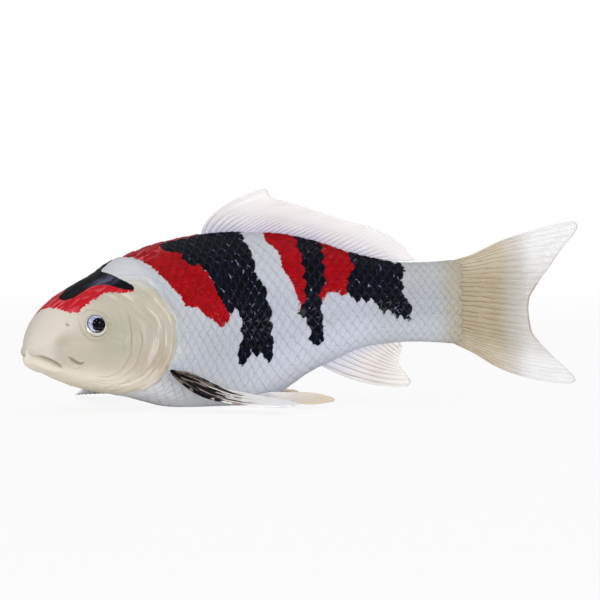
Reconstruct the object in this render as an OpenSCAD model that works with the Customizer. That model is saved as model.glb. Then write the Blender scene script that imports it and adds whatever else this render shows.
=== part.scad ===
// Koi figurine: a moulded body in two halves, bent as if swimming, with separate fins and set-in eyes.
// Fish coordinates are s along the curved middle line from the snout, y to the right side and z up.

/* [Body] */
// Length along the curved middle line, from the snout to the tail tips
body_len = 204; // [170:1:250]
// Height of the body at its deepest place
body_depth = 58; // [48:1:70]
// Width of the body at its widest place
body_width = 41; // [34:1:50]
// Thickness of the moulded wall round the hollow
wall = 2.4; // [1.8:0.1:3]

/* [Swimming bend] */
// Heading of the head, in degrees off the long axis
head_turn = 22; // [12:1:28]
// Heading of the rear trunk
trunk_turn = -14; // [-18:1:-6]
// Heading of the tail tips
tail_turn = -4; // [-10:1:4]

/* [Skin] */
// How far the free edge of each scale stands up
scale_rise = 0.45; // [0.2:0.05:0.7]
// Scales counted from the gill cover to the tail
scale_cols = 29; // [24:1:30]
// Rows of scales on one side, counted twice
skin_sides = 22; // [18:2:22]
// How far the rear edge of the gill cover stands proud
gill_rise = 0.9; // [0.5:0.1:1.4]

/* [Eyes and mouth] */
// Outer width of the silver eye insert
eye_d = 7.2; // [6:0.1:8]
// Width of the black pupil bead
pupil_d = 4.8; // [3.8:0.1:5.2]
// Depth of the eye socket
eye_seat = 2.4; // [1.6:0.1:3]
// Width of the raised lid round the eye
lid_w = 0.7; // [0.5:0.1:1]
// Height of the mouth slit
mouth_gap = 0.8; // [0.5:0.1:1.2]
// Depth of the mouth slit
mouth_depth = 1.6; // [1:0.1:2.2]
// Width of a nostril
nostril_d = 1.3; // [1:0.1:1.6]

/* [Fins] */
// Height of the dorsal fin above the back
dorsal_h = 13.9; // [10:0.1:18]
// Thickness of a fin blade beside its root
fin_root_t = 1.8; // [1.5:0.1:2.4]
// Thickness of a fin blade at its edge
fin_edge_t = 0.9; // [0.7:0.1:1.2]
// How far the rays stand proud of the blade
ray_rise = 0.22; // [0.1:0.02:0.3]
// Drop of the anal fin below the tail stem
anal_h = 14.8; // [11:0.1:18]
// Spread of the tail fin from tip to tip
tail_span = 56.6; // [46:0.2:66]
// Length of a pectoral fin
pectoral_len = 46; // [36:0.5:52]
// Length of a pelvic fin
pelvic_len = 29; // [22:0.5:34]

/* [Joints between the pieces] */
// Depth of the fin tabs in the body
tab_depth = 3; // [2:0.1:4]
// Length of the tongue of the tail fin
tongue_len = 12; // [9:0.5:14]
// Thickness of the tongue of the tail fin
tongue_t = 2.4; // [2:0.1:3]
// Width of the round pegs of the paired fins
peg_d = 3.6; // [3:0.1:4.2]
// Length of those pegs
peg_len = 4.4; // [3.4:0.1:5]
// Width of the pins that line up the two halves
pin_d = 3; // [2.4:0.1:4]
// Reach of those pins into the other half
pin_len = 5; // [4:0.1:6]
// Play left for the glue on each face
glue_gap = 0.06; // [0.04:0.01:0.12]

/* [Hidden] */
$fn = 48;

LEFT = -1;
RIGHT = 1;
// Extra length of every cutter
over = 1;

// Middle line: the head runs straight, then one arc, a straight trunk and a weaker arc in the tail
bend_shares = [0.186, 0.49, 0.69, 1];
// Station of the belly that carries the origin
rest_share = 0.343;
bend_s = bend_shares * body_len;

function arc_part(s, from, to, turn_a, turn_b) =
    let (run = min(max(s, from), to) - from,
        radius = (to - from) / ((turn_b - turn_a) * PI / 180),
        turn = turn_a + (turn_b - turn_a) * run / (to - from))
    radius * [sin(turn) - sin(turn_a), cos(turn_a) - cos(turn)];
function straight_part(s, from, to, turn) = (min(max(s, from), to) - from) * [cos(turn), sin(turn)];
function heading(s) =
    s < bend_s[2]
    ? head_turn + (trunk_turn - head_turn) * min(max((s - bend_s[0]) / (bend_s[1] - bend_s[0]), 0), 1)
    : trunk_turn + (tail_turn - trunk_turn) * min((s - bend_s[2]) / (bend_s[3] - bend_s[2]), 1);
function line_raw(s) =
    min(s, bend_s[0]) * [cos(head_turn), sin(head_turn)]
    + arc_part(s, bend_s[0], bend_s[1], head_turn, trunk_turn)
    + straight_part(s, bend_s[1], bend_s[2], trunk_turn)
    + arc_part(s, bend_s[2], bend_s[3], trunk_turn, tail_turn)
    + max(s - bend_s[3], 0) * [cos(tail_turn), sin(tail_turn)];
rest_at = line_raw(rest_share * body_len);
// A place in the part's own frame from fish coordinates
function place(p) =
    let (at = line_raw(p[0]) - rest_at, turn = heading(p[0]))
    [at[0] - p[1] * sin(turn), at[1] + p[1] * cos(turn), p[2]];

// Stations of the body: place along the length, back and belly height by the depth, half width
station_shares = [
    [0, 0.355, 0.355, 0],
    [0.0035, 0.417, 0.29, 0.15],
    [0.0145, 0.479, 0.252, 0.295],
    [0.034, 0.552, 0.217, 0.44],
    [0.064, 0.634, 0.183, 0.59],
    [0.103, 0.709, 0.141, 0.735],
    [0.147, 0.773, 0.103, 0.865],
    [0.196, 0.847, 0.072, 0.96],
    [0.255, 0.92, 0.02, 1],
    [0.314, 0.969, -0.012, 1],
    [0.373, 1, -0.014, 0.975],
    [0.431, 1.003, -0.006, 0.915],
    [0.49, 0.99, 0.076, 0.81],
    [0.549, 0.941, 0.193, 0.655],
    [0.608, 0.876, 0.31, 0.49],
    [0.667, 0.831, 0.352, 0.35],
    [0.725, 0.824, 0.359, 0.255],
    [0.784, 0.838, 0.345, 0.175]];
last_station = len(station_shares) - 1;
// Height of the widest line between belly and back
waist_share = 0.44;
// Fullness of the section above and below the widest line, 2 for an ellipse
upper_power = 2;
lower_power = 2.3;

function station(i) = station_shares[min(max(i, 0), last_station)];
// A smooth curve through the stations, t counts along them
function along(t) =
    let (i = min(max(floor(t), 0), last_station - 1), f = t - i,
        a = station(i - 1), b = station(i), c = station(i + 1), d = station(i + 2))
    (2 * b + (c - a) * f + (2 * a - 5 * b + 4 * c - d) * f * f + (3 * b - a - 3 * c + d) * f * f * f) / 2;
station_table = [for (i = [0 : last_station]) [station_shares[i][0], i]];
function t_of(s) = lookup(s / body_len, station_table);
function back_z(s) = along(t_of(s))[1] * body_depth;
function belly_z(s) = along(t_of(s))[2] * body_depth;

// Section point at an angle from the back, for a station given as [s, back, belly, half width]
function section_point(q, angle, side) =
    let (waist = q[2] + (q[1] - q[2]) * waist_share, c = abs(cos(angle)), k = max(sin(angle), 0),
        power = angle <= 90 ? upper_power : lower_power,
        z = angle <= 90 ? waist + (q[1] - waist) * pow(c, 2 / power)
            : waist - (waist - q[2]) * pow(c, 2 / power))
    [q[0], side * q[3] * pow(k, 2 / power), z];
function sized(q) = [q[0] * body_len, q[1] * body_depth, q[2] * body_depth, max(q[3], 0) * body_width / 2];
function skin(s, angle, side) =
    let (q = sized(along(t_of(s)))) section_point([s, q[1], q[2], q[3]], angle, side);

// Outward direction of the skin
function unit(v) = v / norm(v);
function skin_normal(s, angle, side) =
    let (ds = body_len / 400, da = 2,
        u = place(skin(s + ds, angle, side)) - place(skin(s - ds, angle, side)),
        v = place(skin(s, angle + da, side)) - place(skin(s, angle - da, side)))
    side * unit(cross(u, v));

// Rear edge of the gill cover, as angle from the back and share of the length
gill_shares = [[0, 0.17], [32, 0.179], [46, 0.194], [57, 0.2085], [68, 0.221], [76, 0.232], [87, 0.2345],
    [98, 0.2325], [114, 0.224], [140, 0.203], [180, 0.165]];
function gill_s(angle) = lookup(angle, gill_shares) * body_len;
// Rings of the snout, counted along the stations
snout_rings = [0.12, 0.35, 0.65, 1, 1.5, 2, 2.5, 3, 3.5, 4, 4.5, 5, 5.5];
gill_rings = 4;
// Width of the step behind the gill cover
gill_step = 0.5;
cheek_share = 0.135;
first_scale_share = 0.255;
body_end_share = 0.784;
body_end = body_end_share * body_len;
trunk_from = first_scale_share * body_len;
half_rings = 2 * scale_cols;
half_pitch = (body_end - trunk_from) / half_rings;
// How far the free edge of a scale is drawn back, as a share of the space between rings
scale_lean_share = 0.5;

// The slots of the dorsal and anal fins begin and end at rings of scales
dorsal_base_shares = [0.352, 0.655];
anal_base_shares = [0.578, 0.672];
function ring_of(share) = round((share * body_len - trunk_from) / half_pitch);
function ring_s(k) = trunk_from + k * half_pitch;
dorsal_k = [for (share = dorsal_base_shares) ring_of(share)];
anal_k = [for (share = anal_base_shares) ring_of(share)];
slot_half = fin_root_t / 2 + glue_gap;
slot_deep = tab_depth + glue_gap;

// Angles of the skin points of a ring; the first and last leave room for the slots
edge_angle = 14;
function ring_angle(i) = mix(edge_angle, 180 - edge_angle, i / skin_sides);
function mix(a, b, f) = a + (b - a) * f;
// A ring from the back to the belly, with three points on the middle at each end for the slots
function ring(points, back, belly, side, in_dorsal, in_anal) =
    let (s = points[0][0], n = len(points) - 1,
        top = min(slot_half, abs(points[0][1]) * 0.7), low = min(slot_half, abs(points[n][1]) * 0.7),
        top_z = mix(back, points[0][2], pow(top / max(abs(points[0][1]), slot_half / 100), 2)),
        low_z = mix(belly, points[n][2], pow(low / max(abs(points[n][1]), slot_half / 100), 2)),
        s_low = points[n][0])
    concat(
        in_dorsal ? [[s, 0, back - slot_deep], [s, side * slot_half, back - slot_deep]]
            : [[s, 0, back], [s, side * top / 2, mix(back, top_z, 0.25)]],
        [[s, side * (in_dorsal ? slot_half : top), top_z]],
        points,
        [[s_low, side * (in_anal ? slot_half : low), low_z]],
        in_anal ? [[s_low, side * slot_half, belly + slot_deep], [s_low, 0, belly + slot_deep]]
            : [[s_low, side * low / 2, mix(belly, low_z, 0.25)], [s_low, 0, belly]]);

function lifted(p, angle, side, rise) = p + rise * [0, side * sin(angle), cos(angle)];
// Fades the gill cover out at the back and under the throat
function gill_fade(angle) = min(max((angle - 20) / 25, 0), 1) * min(max((165 - angle) / 30, 0), 1);
// Carved forms of the head: lips round the mouth, a brow over the eye and the rim of the cheek plate, each
// given as place along the length, angle, half length, half breadth in degrees, and height as a share of the
// rise of the gill cover
head_forms = [[0.02, 106, 0.026, 15, 0.75], [0.012, 143, 0.03, 17, 0.7], [0.088, 34, 0.035, 13, 0.6],
    [0.134, 96, 0.017, 34, 0.55], [0.118, 140, 0.03, 12, 0.4]];
function head_rise(s, a) = gill_rise * max([for (form = head_forms)
    form[4] * exp(-pow((s / body_len - form[0]) / form[2], 2) - pow((a - form[1]) / form[3], 2))]);
function snout_ring(t, side) =
    let (q = sized(along(t)))
    ring([for (i = [0 : skin_sides]) let (a = ring_angle(i), p = section_point(q, a, side))
        lifted(p, a, side, head_rise(p[0], a))], q[1], q[2], side, false, false);
function cheek_ring(f, side) =
    let (points = [for (i = [0 : skin_sides])
        let (a = ring_angle(i), s = mix(cheek_share * body_len, gill_s(a), f))
            lifted(skin(s, a, side), a, side, head_rise(s, a) + gill_rise * f * f * gill_fade(a))])
    ring(points, back_z(points[0][0]), belly_z(points[skin_sides][0]), side, false, false);
function behind_gill_ring(f, side) =
    let (points = [for (i = [0 : skin_sides])
        let (a = ring_angle(i)) skin(mix(gill_s(a) + gill_step, trunk_from, f), a, side)])
    ring(points, back_z(points[0][0]), belly_z(points[skin_sides][0]), side, false, false);
function trunk_ring(s, k, side, in_dorsal, in_anal) =
    let (points = [for (i = [0 : skin_sides])
        let (a = ring_angle(i), edge = k == 0 || k == half_rings || i == 0 || i == skin_sides,
            up = edge || (k + i) % 2 == 1 ? 0 : 1)
        lifted(skin(s + up * scale_lean_share * half_pitch, a, side), a, side, up * scale_rise)])
    ring(points, back_z(s), belly_z(s), side, in_dorsal, in_anal);
// True where ring k, or the space just behind it, lies in a slot
function within(k, ends) = k > ends[0] && k < ends[1];
function is_end(k) = k == dorsal_k[0] || k == dorsal_k[1] || k == anal_k[0] || k == anal_k[1];

function skin_rings(side) = concat(
    [for (t = snout_rings) snout_ring(t, side)],
    [for (k = [0 : gill_rings]) cheek_ring(k / gill_rings, side)],
    [for (k = [0 : 2]) behind_gill_ring(k / 3, side)],
    [for (k = [0 : half_rings])
        let (top = within(k, dorsal_k), low = within(k, anal_k))
        each !is_end(k) ? [trunk_ring(ring_s(k), k, side, top, low)]
            : [trunk_ring(ring_s(k) - glue_gap, 0, side, top || k == dorsal_k[1], low || k == anal_k[1]),
                trunk_ring(ring_s(k) + glue_gap, 0, side, top || k == dorsal_k[0], low || k == anal_k[0])]]);

// Hollow inside, one wall in from the skin, with a thicker ridge under the dorsal fin
hollow_from_share = 0.1325;
hollow_to_share = 0.55;
hollow_rings = 12;
hollow_sides = 10;
// Smallest size of the hollow at its rounded ends
hollow_end_share = 0.35;
function hollow_point(k, i, side) =
    let (f = k / hollow_rings, s = body_len * (hollow_from_share + (hollow_to_share - hollow_from_share) * f),
        q = sized(along(t_of(s))),
        size = max(hollow_end_share, sqrt(1 - pow(max(1 - 6 * f, 6 * f - 5, 0), 2))),
        top = q[1] - wall - tab_depth, bottom = max(q[2], 0) + wall,
        mid = (top + bottom) / 2)
    section_point([s, mid + (top - mid) * size, mid - (mid - bottom) * size, (q[3] - wall) * size],
        180 * i / hollow_sides, side);

// Triangles between two rows of points that start at index a and b, with n steps each
function strip(a, b, n) = [for (i = [0 : n - 1])
    each [[a + i, b + i, b + i + 1], [a + i, b + i + 1, a + i + 1]]];
// Triangles between two lines of points with different counts, matched by their places along the body
function middles(s) = [for (i = [1 : len(s) - 1]) (s[i - 1] + s[i]) / 2];
function zipped(a, b, a_s, b_s) =
    let (am = middles(a_s), bm = middles(b_s), to = [for (m = am) len([for (x = bm) if (x <= m) 1])])
    concat([for (i = [0 : len(to) - 1]) [a[i], a[i + 1], b[to[i]]]],
        [for (j = [0 : len(bm) - 1]) [b[j + 1], b[j], a[len([for (x = to) if (x <= j) 1])]]]);
function part_of(list, from, to) = [for (i = [from : to]) list[i]];
function flipped(faces) = [for (f = faces) [f[0], f[2], f[1]]];

// One half of the body: skin, hollow and the rim between them on the middle surface
module half_shell(side) {
    rings = skin_rings(side);
    n = len(rings);
    sides = len(rings[0]) - 1;
    w = sides + 1;
    v = hollow_sides + 1;
    first = 1 + n * w;
    snout = [0, 0, station_shares[0][1] * body_depth];
    points = concat([snout], [for (r = rings) each r],
        [for (k = [0 : hollow_rings]) for (i = [0 : hollow_sides]) hollow_point(k, i, side)]);
    top = [for (k = [0 : n - 1]) 1 + k * w];
    low = [for (k = [0 : n - 1]) k * w + w];
    inner_top = [for (k = [0 : hollow_rings]) first + k * v];
    inner_low = [for (k = [0 : hollow_rings]) first + k * v + v - 1];
    ring_places = [for (r = rings) r[0][0]];
    low_places = [for (r = rings) r[sides][0]];
    hollow_places = [for (k = [0 : hollow_rings]) points[first + k * v][0]];
    // Last ring before the hollow and first ring behind it
    before = len([for (s = ring_places) if (s < hollow_places[0]) 1]) - 1;
    behind = len([for (s = ring_places) if (s <= hollow_places[hollow_rings]) 1]);
    end = 1 + (n - 1) * w;
    last = first + hollow_rings * v;
    faces = concat(
        [for (i = [0 : sides - 1]) [0, 1 + i, 2 + i]],
        [for (k = [0 : n - 2]) each strip(1 + k * w, 1 + (k + 1) * w, sides)],
        [for (i = [1 : sides - 1]) [end, end + i + 1, end + i]],
        flipped([for (k = [0 : hollow_rings - 1])
            each strip(first + k * v, first + (k + 1) * v, hollow_sides)]),
        [for (i = [1 : hollow_sides - 1]) [first, first + i + 1, first + i]],
        [for (i = [1 : hollow_sides - 1]) [last, last + i, last + i + 1]],
        [[0, low[0], top[0]]],
        [for (k = [0 : n - 2]) if (k < before || k >= behind)
            each [[top[k], low[k + 1], top[k + 1]], [top[k], low[k], low[k + 1]]]],
        flipped(zipped(part_of(top, before, behind), inner_top,
            part_of(ring_places, before, behind), hollow_places)),
        zipped(part_of(low, before, behind), inner_low, part_of(low_places, before, behind), hollow_places),
        [[top[before], low[before], inner_top[0]], [low[before], inner_low[0], inner_top[0]]],
        [[top[behind], last, low[behind]], [last, last + hollow_sides, low[behind]]]);
    polyhedron([for (p = points) place(p)], side == RIGHT ? flipped(faces) : faces, 10);
}

// Moves what is drawn along Z to a place on the skin, pointing outwards
module on_skin(s, angle, side) {
    n = skin_normal(s, angle, side);
    translate(place(skin(s, angle, side))) rotate([0, acos(n[2]), atan2(n[1], n[0])]) children();
}
// Moves what is drawn along Z to a height on the middle surface, pointing to the right side
module across(s, z) {
    translate(place([s, 0, z])) rotate([-90, 0, heading(s)]) children();
}
module rod(d, from, to) {
    translate([0, 0, from]) cylinder(d = d, h = to - from);
}

// Pins that line up the halves: in the solid snout, across the hollow and in the solid tail stem
pin_shares = [[0.085, 0.36], [0.335, 0.52], [0.615, 0.58]];
hollow_pin = 1;
boss_d = pin_d + 2 * wall;
// Bosses stop this far from the bent middle surface
boss_gap = glue_gap + boss_d * boss_d / body_len / 2;
function pin_s(k) = pin_shares[k][0] * body_len;
function pin_z(k) = pin_shares[k][1] * body_depth;
module bosses(side) {
    across(pin_s(hollow_pin), pin_z(hollow_pin))
        rotate([side == RIGHT ? 0 : 180, 0, 0]) rod(boss_d, boss_gap, body_width / 2 - wall / 2);
}
module pins() {
    for (k = [0 : len(pin_shares) - 1])
        across(pin_s(k), pin_z(k)) rod(pin_d, -pin_len, pin_len);
}
module pin_bores() {
    for (k = [0 : len(pin_shares) - 1])
        across(pin_s(k), pin_z(k)) rod(pin_d + 2 * glue_gap, -over, pin_len + glue_gap);
}

// Eyes: a socket, a raised lid, a silver insert with a recess and a domed pupil bead in it
eye_share = 0.0887;
eye_angle = 68.5;
// Height of the domes over the skin, as shares of their widths
eye_dome_share = 0.1;
pupil_dome_share = 0.16;
pupil_seat = eye_seat / 2;
eye_s = eye_share * body_len;
module lid(side) {
    on_skin(eye_s, eye_angle, side) rotate_extrude() {
        translate([eye_d / 2 + lid_w / 2, 0]) circle(d = lid_w, $fn = 12);
        translate([eye_d / 2, -eye_seat]) square([lid_w, eye_seat]);
    }
}
module eye_socket(side) {
    on_skin(eye_s, eye_angle, side) rod(eye_d + 2 * glue_gap, -eye_seat - glue_gap, over);
}
// Cap of a ball that is w wide and h high at its middle
function cap_radius(w, h) = (w * w / 4 + h * h) / (2 * h);
module domed_plug(d, dome, depth) {
    r = cap_radius(d, dome);
    intersection() {
        rod(d, -depth, dome + over);
        translate([0, 0, dome - r]) sphere(r = r);
    }
}
module eye(side) {
    on_skin(eye_s, eye_angle, side) difference() {
        domed_plug(eye_d, eye_d * eye_dome_share, eye_seat);
        rod(pupil_d + 2 * glue_gap, -pupil_seat - glue_gap, eye_d);
    }
}
module pupil(side) {
    on_skin(eye_s, eye_angle, side)
        translate([0, 0, eye_d * eye_dome_share / 2])
            domed_plug(pupil_d, pupil_d * pupil_dome_share, pupil_seat + eye_d * eye_dome_share / 2);
}

// Nostrils in front of the eyes
nostril_share = 0.0485;
nostril_angle = 53;
module nostril(side) {
    on_skin(nostril_share * body_len, nostril_angle, side) rod(nostril_d, -nostril_d, over);
}

// Mouth slit: part of a flat ring that follows the snout and falls away backwards
mouth_z_share = 0.331;
mouth_fall = 30;
mouth_r_share = 0.044;
module mouth_slit() {
    r = mouth_r_share * body_len;
    translate(place([r, 0, mouth_z_share * body_depth])) rotate([0, 0, head_turn]) rotate([0, mouth_fall, 0])
        translate([0, 0, -r * sin(mouth_fall)]) difference() {
            cylinder(r = r + 2 * over, h = mouth_gap, center = true);
            cylinder(r = r - mouth_depth, h = mouth_gap + 2 * over, center = true);
            translate([r / 2, -2 * r, -r]) cube([2 * r, 4 * r, 2 * r]);
        }
}

// Solid between two sheets of points, drawn half a thickness to each side of a middle sheet
module blade(mid, half_t) {
    n = len(mid) - 1;
    m = len(mid[0]) - 1;
    w = m + 1;
    count = (n + 1) * w;
    function normal(i, j) = unit(cross(mid[min(i + 1, n)][j] - mid[max(i - 1, 0)][j],
        mid[i][min(j + 1, m)] - mid[i][max(j - 1, 0)]));
    points = [for (face = [1, -1]) for (i = [0 : n]) for (j = [0 : m])
        mid[i][j] + face * half_t[i][j] * normal(i, j)];
    faces = concat(
        flipped([for (i = [0 : n - 1]) each strip(i * w, (i + 1) * w, m)]),
        [for (i = [0 : n - 1]) each strip(count + i * w, count + (i + 1) * w, m)],
        strip(0, count, m),
        flipped(strip(n * w, count + n * w, m)),
        flipped([for (i = [0 : n - 1]) each [[i * w, count + i * w, count + (i + 1) * w],
            [i * w, count + (i + 1) * w, (i + 1) * w]]]),
        [for (i = [0 : n - 1]) each [[i * w + m, count + i * w + m, count + (i + 1) * w + m],
            [i * w + m, count + (i + 1) * w + m, (i + 1) * w + m]]]);
    polyhedron(points, faces, 10);
}
// Half thickness of a blade at ray column i and share f along the ray
function blade_t(i, f, root, edge) =
    (root + (edge - root) * f) / 2 + ray_rise * (i % 2 == 0 ? 1 : -1) * min(4 * f, 1) / 2;
function bow(a, b, c, f) = mix(mix(a, b, f), mix(b, c, f), f);

// Dorsal fin: rays lean back from a base along the back, their tips follow the edge of the fin
dorsal_rays = 18;
dorsal_rows = 5;
// Edge of the fin: share along it, then place along the length and height over the back
dorsal_edge_shares = [[0, 0.452], [0.03, 0.467], [0.25, 0.52], [0.5, 0.58], [0.72, 0.632], [0.84, 0.668],
    [0.93, 0.693], [1, 0.712]];
dorsal_rise_shares = [[0, 0.86], [0.03, 1], [0.09, 0.84], [0.25, 0.76], [0.5, 0.74], [0.72, 0.75],
    [0.84, 0.6], [0.93, 0.34], [1, 0.06]];
// How soon the rays lean back: the foremost, the others, and the part of the fin between the two
dorsal_front_share = 0.12;
dorsal_lean_share = 0.42;
dorsal_front_part = 0.2;
// Sideways curl of the front lobe towards the left side, by the height of the fin
dorsal_curl_share = 0.16;
function dorsal_base(u) = mix(ring_s(dorsal_k[0]) + 2 * glue_gap, ring_s(dorsal_k[1]) - 2 * glue_gap, u);
function dorsal_point(u, f) =
    let (s0 = dorsal_base(u), s1 = lookup(u, dorsal_edge_shares) * body_len,
        rise = lookup(u, dorsal_rise_shares) * dorsal_h,
        lean = mix(dorsal_front_share, dorsal_lean_share, min(u / dorsal_front_part, 1)),
        s = f < 0 ? s0 : bow(s0, mix(s0, s1, lean), s1, f))
    [s, f < 0 ? 0 : -dorsal_curl_share * dorsal_h * f * f * pow(1 - u, 2),
        f < 0 ? back_z(s0) - tab_depth : mix(back_z(s), back_z(s) + rise, f)];
module dorsal_fin() {
    n = 2 * dorsal_rays;
    color("whitesmoke") blade(
        [for (i = [0 : n]) [for (j = [-1 : dorsal_rows]) place(dorsal_point(i / n, j / dorsal_rows))]],
        [for (i = [0 : n]) [for (j = [-1 : dorsal_rows])
            blade_t(i, max(j / dorsal_rows, 0), fin_root_t, fin_edge_t)]]);
}
// Anal fin, built the same way downwards
anal_rays = 8;
anal_rows = 5;
anal_edge_shares = [[0, 0.6], [0.15, 0.628], [0.4, 0.66], [0.62, 0.69], [0.75, 0.703], [0.88, 0.7],
    [1, 0.694]];
anal_drop_shares = [[0, 0.41], [0.15, 0.73], [0.4, 0.92], [0.62, 1], [0.75, 0.96], [0.88, 0.68], [1, 0.33]];
function anal_base(u) = mix(ring_s(anal_k[0]) + 2 * glue_gap, ring_s(anal_k[1]) - 2 * glue_gap, u);
function anal_point(u, f) =
    let (s0 = anal_base(u), s1 = lookup(u, anal_edge_shares) * body_len,
        drop = lookup(u, anal_drop_shares) * anal_h, s = f < 0 ? s0 : mix(s0, s1, f))
    [s, 0, f < 0 ? belly_z(s0) + tab_depth : belly_z(s) - drop * f];
module anal_fin() {
    n = 2 * anal_rays;
    color("whitesmoke") blade(
        [for (i = [0 : n]) [for (j = [-1 : anal_rows]) place(anal_point(i / n, j / anal_rows))]],
        [for (i = [0 : n]) [for (j = [-1 : anal_rows])
            blade_t(i, max(j / anal_rows, 0), fin_root_t, fin_edge_t)]]);
}
// Tail fin: rays fan out from the butt end of the body to a forked edge
tail_rays = 18;
tail_rows = 7;
tail_mid_share = 0.586;
// Forked edge: share down it, then place along the length and height by the span
tail_edge_shares = [[0, 0.995], [0.04, 1], [0.1, 0.986], [0.2, 0.956], [0.3, 0.934], [0.42, 0.913],
    [0.5, 0.908], [0.58, 0.913], [0.7, 0.937], [0.8, 0.961], [0.9, 0.984], [0.96, 1], [1, 0.996]];
tail_height_shares = [[0, 0.5], [0.04, 0.468], [0.1, 0.37], [0.2, 0.26], [0.3, 0.16], [0.42, 0.045],
    [0.5, -0.04], [0.58, -0.115], [0.7, -0.215], [0.8, -0.305], [0.9, -0.395], [0.96, -0.47], [1, -0.5]];
// How far out the rays stay level before they spread, from the upper edge to the lower one
tail_lean_shares = [[0, 0.7], [0.5, 0.5], [1, 0.95]];
function tail_root(u) = skin(body_end, 180 * u, LEFT);
function tail_point(u, f) =
    let (root = tail_root(u), s1 = lookup(u, tail_edge_shares) * body_len,
        z1 = tail_mid_share * body_depth + lookup(u, tail_height_shares) * tail_span,
        start = body_end + glue_gap)
    [mix(start, s1, f), 0, bow(root[2], mix(root[2], z1, lookup(u, tail_lean_shares)), z1, f)];
// Rows lie closer near the root
function tail_row(j) = pow(j / tail_rows, 1.3);
function tail_t(i, u, f) =
    mix(max(-tail_root(u)[1], fin_edge_t / 2), blade_t(i, f, fin_root_t, fin_edge_t), min(sqrt(3 * f), 1));
module tail_fin() {
    n = 2 * tail_rays;
    color("whitesmoke") {
        blade([for (i = [0 : n]) [for (j = [0 : tail_rows]) place(tail_point(i / n, tail_row(j)))]],
            [for (i = [0 : n]) [for (j = [0 : tail_rows]) tail_t(i, i / n, tail_row(j))]]);
        tongue(0);
    }
}
// Tongue of the tail fin between the two halves of the tail stem
module tongue(play) {
    high = (back_z(body_end) - belly_z(body_end)) / 2 + 2 * play;
    middle = (back_z(body_end) + belly_z(body_end)) / 2;
    translate(place([body_end, 0, middle])) rotate([0, 0, heading(body_end)])
        translate([-tongue_len - play, -tongue_t / 2 - play, -high / 2])
            cube([tongue_len + over + play, tongue_t + 2 * play, high]);
}

// Paired fins: a fan of rays from a fleshy root, held by a round peg in the body
// How much wider the rays spread at the root than at the tips
root_spread = 1.6;

pectoral_share = 0.242;
// How far ahead of the peg the rays meet
pectoral_lead_share = 0.012;
pectoral_angle = 116;
pectoral_rays = 10;
pectoral_rows = 6;
// Flare of the front and rear rays off the tailward direction
pectoral_flare = [66, 18];
// How much further forward the right fin is spread
pectoral_forward = 12;
pectoral_rear_share = 0.82;
// Heights of the front and rear rays from root to tip, by the length of the fin
pectoral_front_shares = [[0, 0.24], [0.15, 0.17], [0.25, 0.12], [0.4, 0.085], [0.6, 0.06], [0.8, 0.052],
    [1, 0.055]];
pectoral_rear_shares = [[0, 0.3], [0.15, 0.28], [0.3, 0.225], [0.45, 0.165], [0.6, 0.13], [0.8, 0.1],
    [1, 0.075]];
// Where the rays begin, as a share of the length, and thickness of the fleshy root
pectoral_start_share = 0.03;
pectoral_root_t = 2.6;

module paired_fin(side, s, angle, lead, rays, rows, flare, rear_share, front, rear, length, start_share,
    root_t) {
    turn = heading(s);
    base = place(skin(s - lead, angle, side)) + skin_normal(s, angle, side) * root_t;
    n = 2 * rays;
    function point(u, f) =
        let (a = (flare[0] + flare[1]) / 2 + (flare[0] - flare[1]) * (1 / 2 - u) * mix(root_spread, 1, f),
            tip = mix(1, rear_share, u * u) * (1 - pow(abs(2 * u - 1), 3) / 9),
            reach = length * mix(start_share, tip, f), k = reach / length)
        [base[0] + reach * cos(turn + side * a), base[1] + reach * sin(turn + side * a),
            length * mix(lookup(k, front), lookup(k, rear), u)];
    blade([for (i = [0 : n]) [for (j = [0 : rows]) point(side == LEFT ? i / n : 1 - i / n, j / rows)]],
        [for (i = [0 : n]) [for (j = [0 : rows]) blade_t(i, j / rows, root_t, fin_edge_t)]]);
    on_skin(s, angle, side) {
        translate([0, 0, root_t]) domed_plug(root_t * 2, root_t / 2, root_t - glue_gap - scale_rise);
        rod(peg_d, -peg_len, root_t);
    }
}
module peg_bore(s, angle, side) {
    on_skin(s, angle, side) rod(peg_d + 2 * glue_gap, -peg_len - glue_gap, over);
}
module pectoral_fin(side) {
    flare = [for (v = pectoral_flare) side == RIGHT ? v + pectoral_forward : v];
    paired_fin(side, pectoral_share * body_len, pectoral_angle, pectoral_lead_share * body_len, pectoral_rays,
        pectoral_rows, flare, pectoral_rear_share, pectoral_front_shares, pectoral_rear_shares,
        pectoral_len, pectoral_start_share, pectoral_root_t);
}

pelvic_share = 0.43;
pelvic_angle = 140;
pelvic_rays = 8;
pelvic_rows = 5;
pelvic_flare = [42, 4];
pelvic_rear_share = 0.8;
pelvic_front_shares = [[0, 0.14], [0.3, 0.08], [0.6, 0.05], [1, 0.055]];
pelvic_rear_shares = [[0, 0.17], [0.3, 0.16], [0.6, 0.14], [1, 0.11]];
pelvic_start_share = 0.03;
pelvic_root_t = 2;
module pelvic_fin(side) {
    paired_fin(side, pelvic_share * body_len, pelvic_angle, 0, pelvic_rays, pelvic_rows, pelvic_flare,
        pelvic_rear_share, pelvic_front_shares, pelvic_rear_shares, pelvic_len, pelvic_start_share,
        pelvic_root_t);
}
// Solid seats inside the wall behind the pegs
module peg_seat(s, angle, side) {
    on_skin(s, angle, side) rod(peg_d + 2 * wall, -peg_len - wall, -wall / 2);
}

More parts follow.
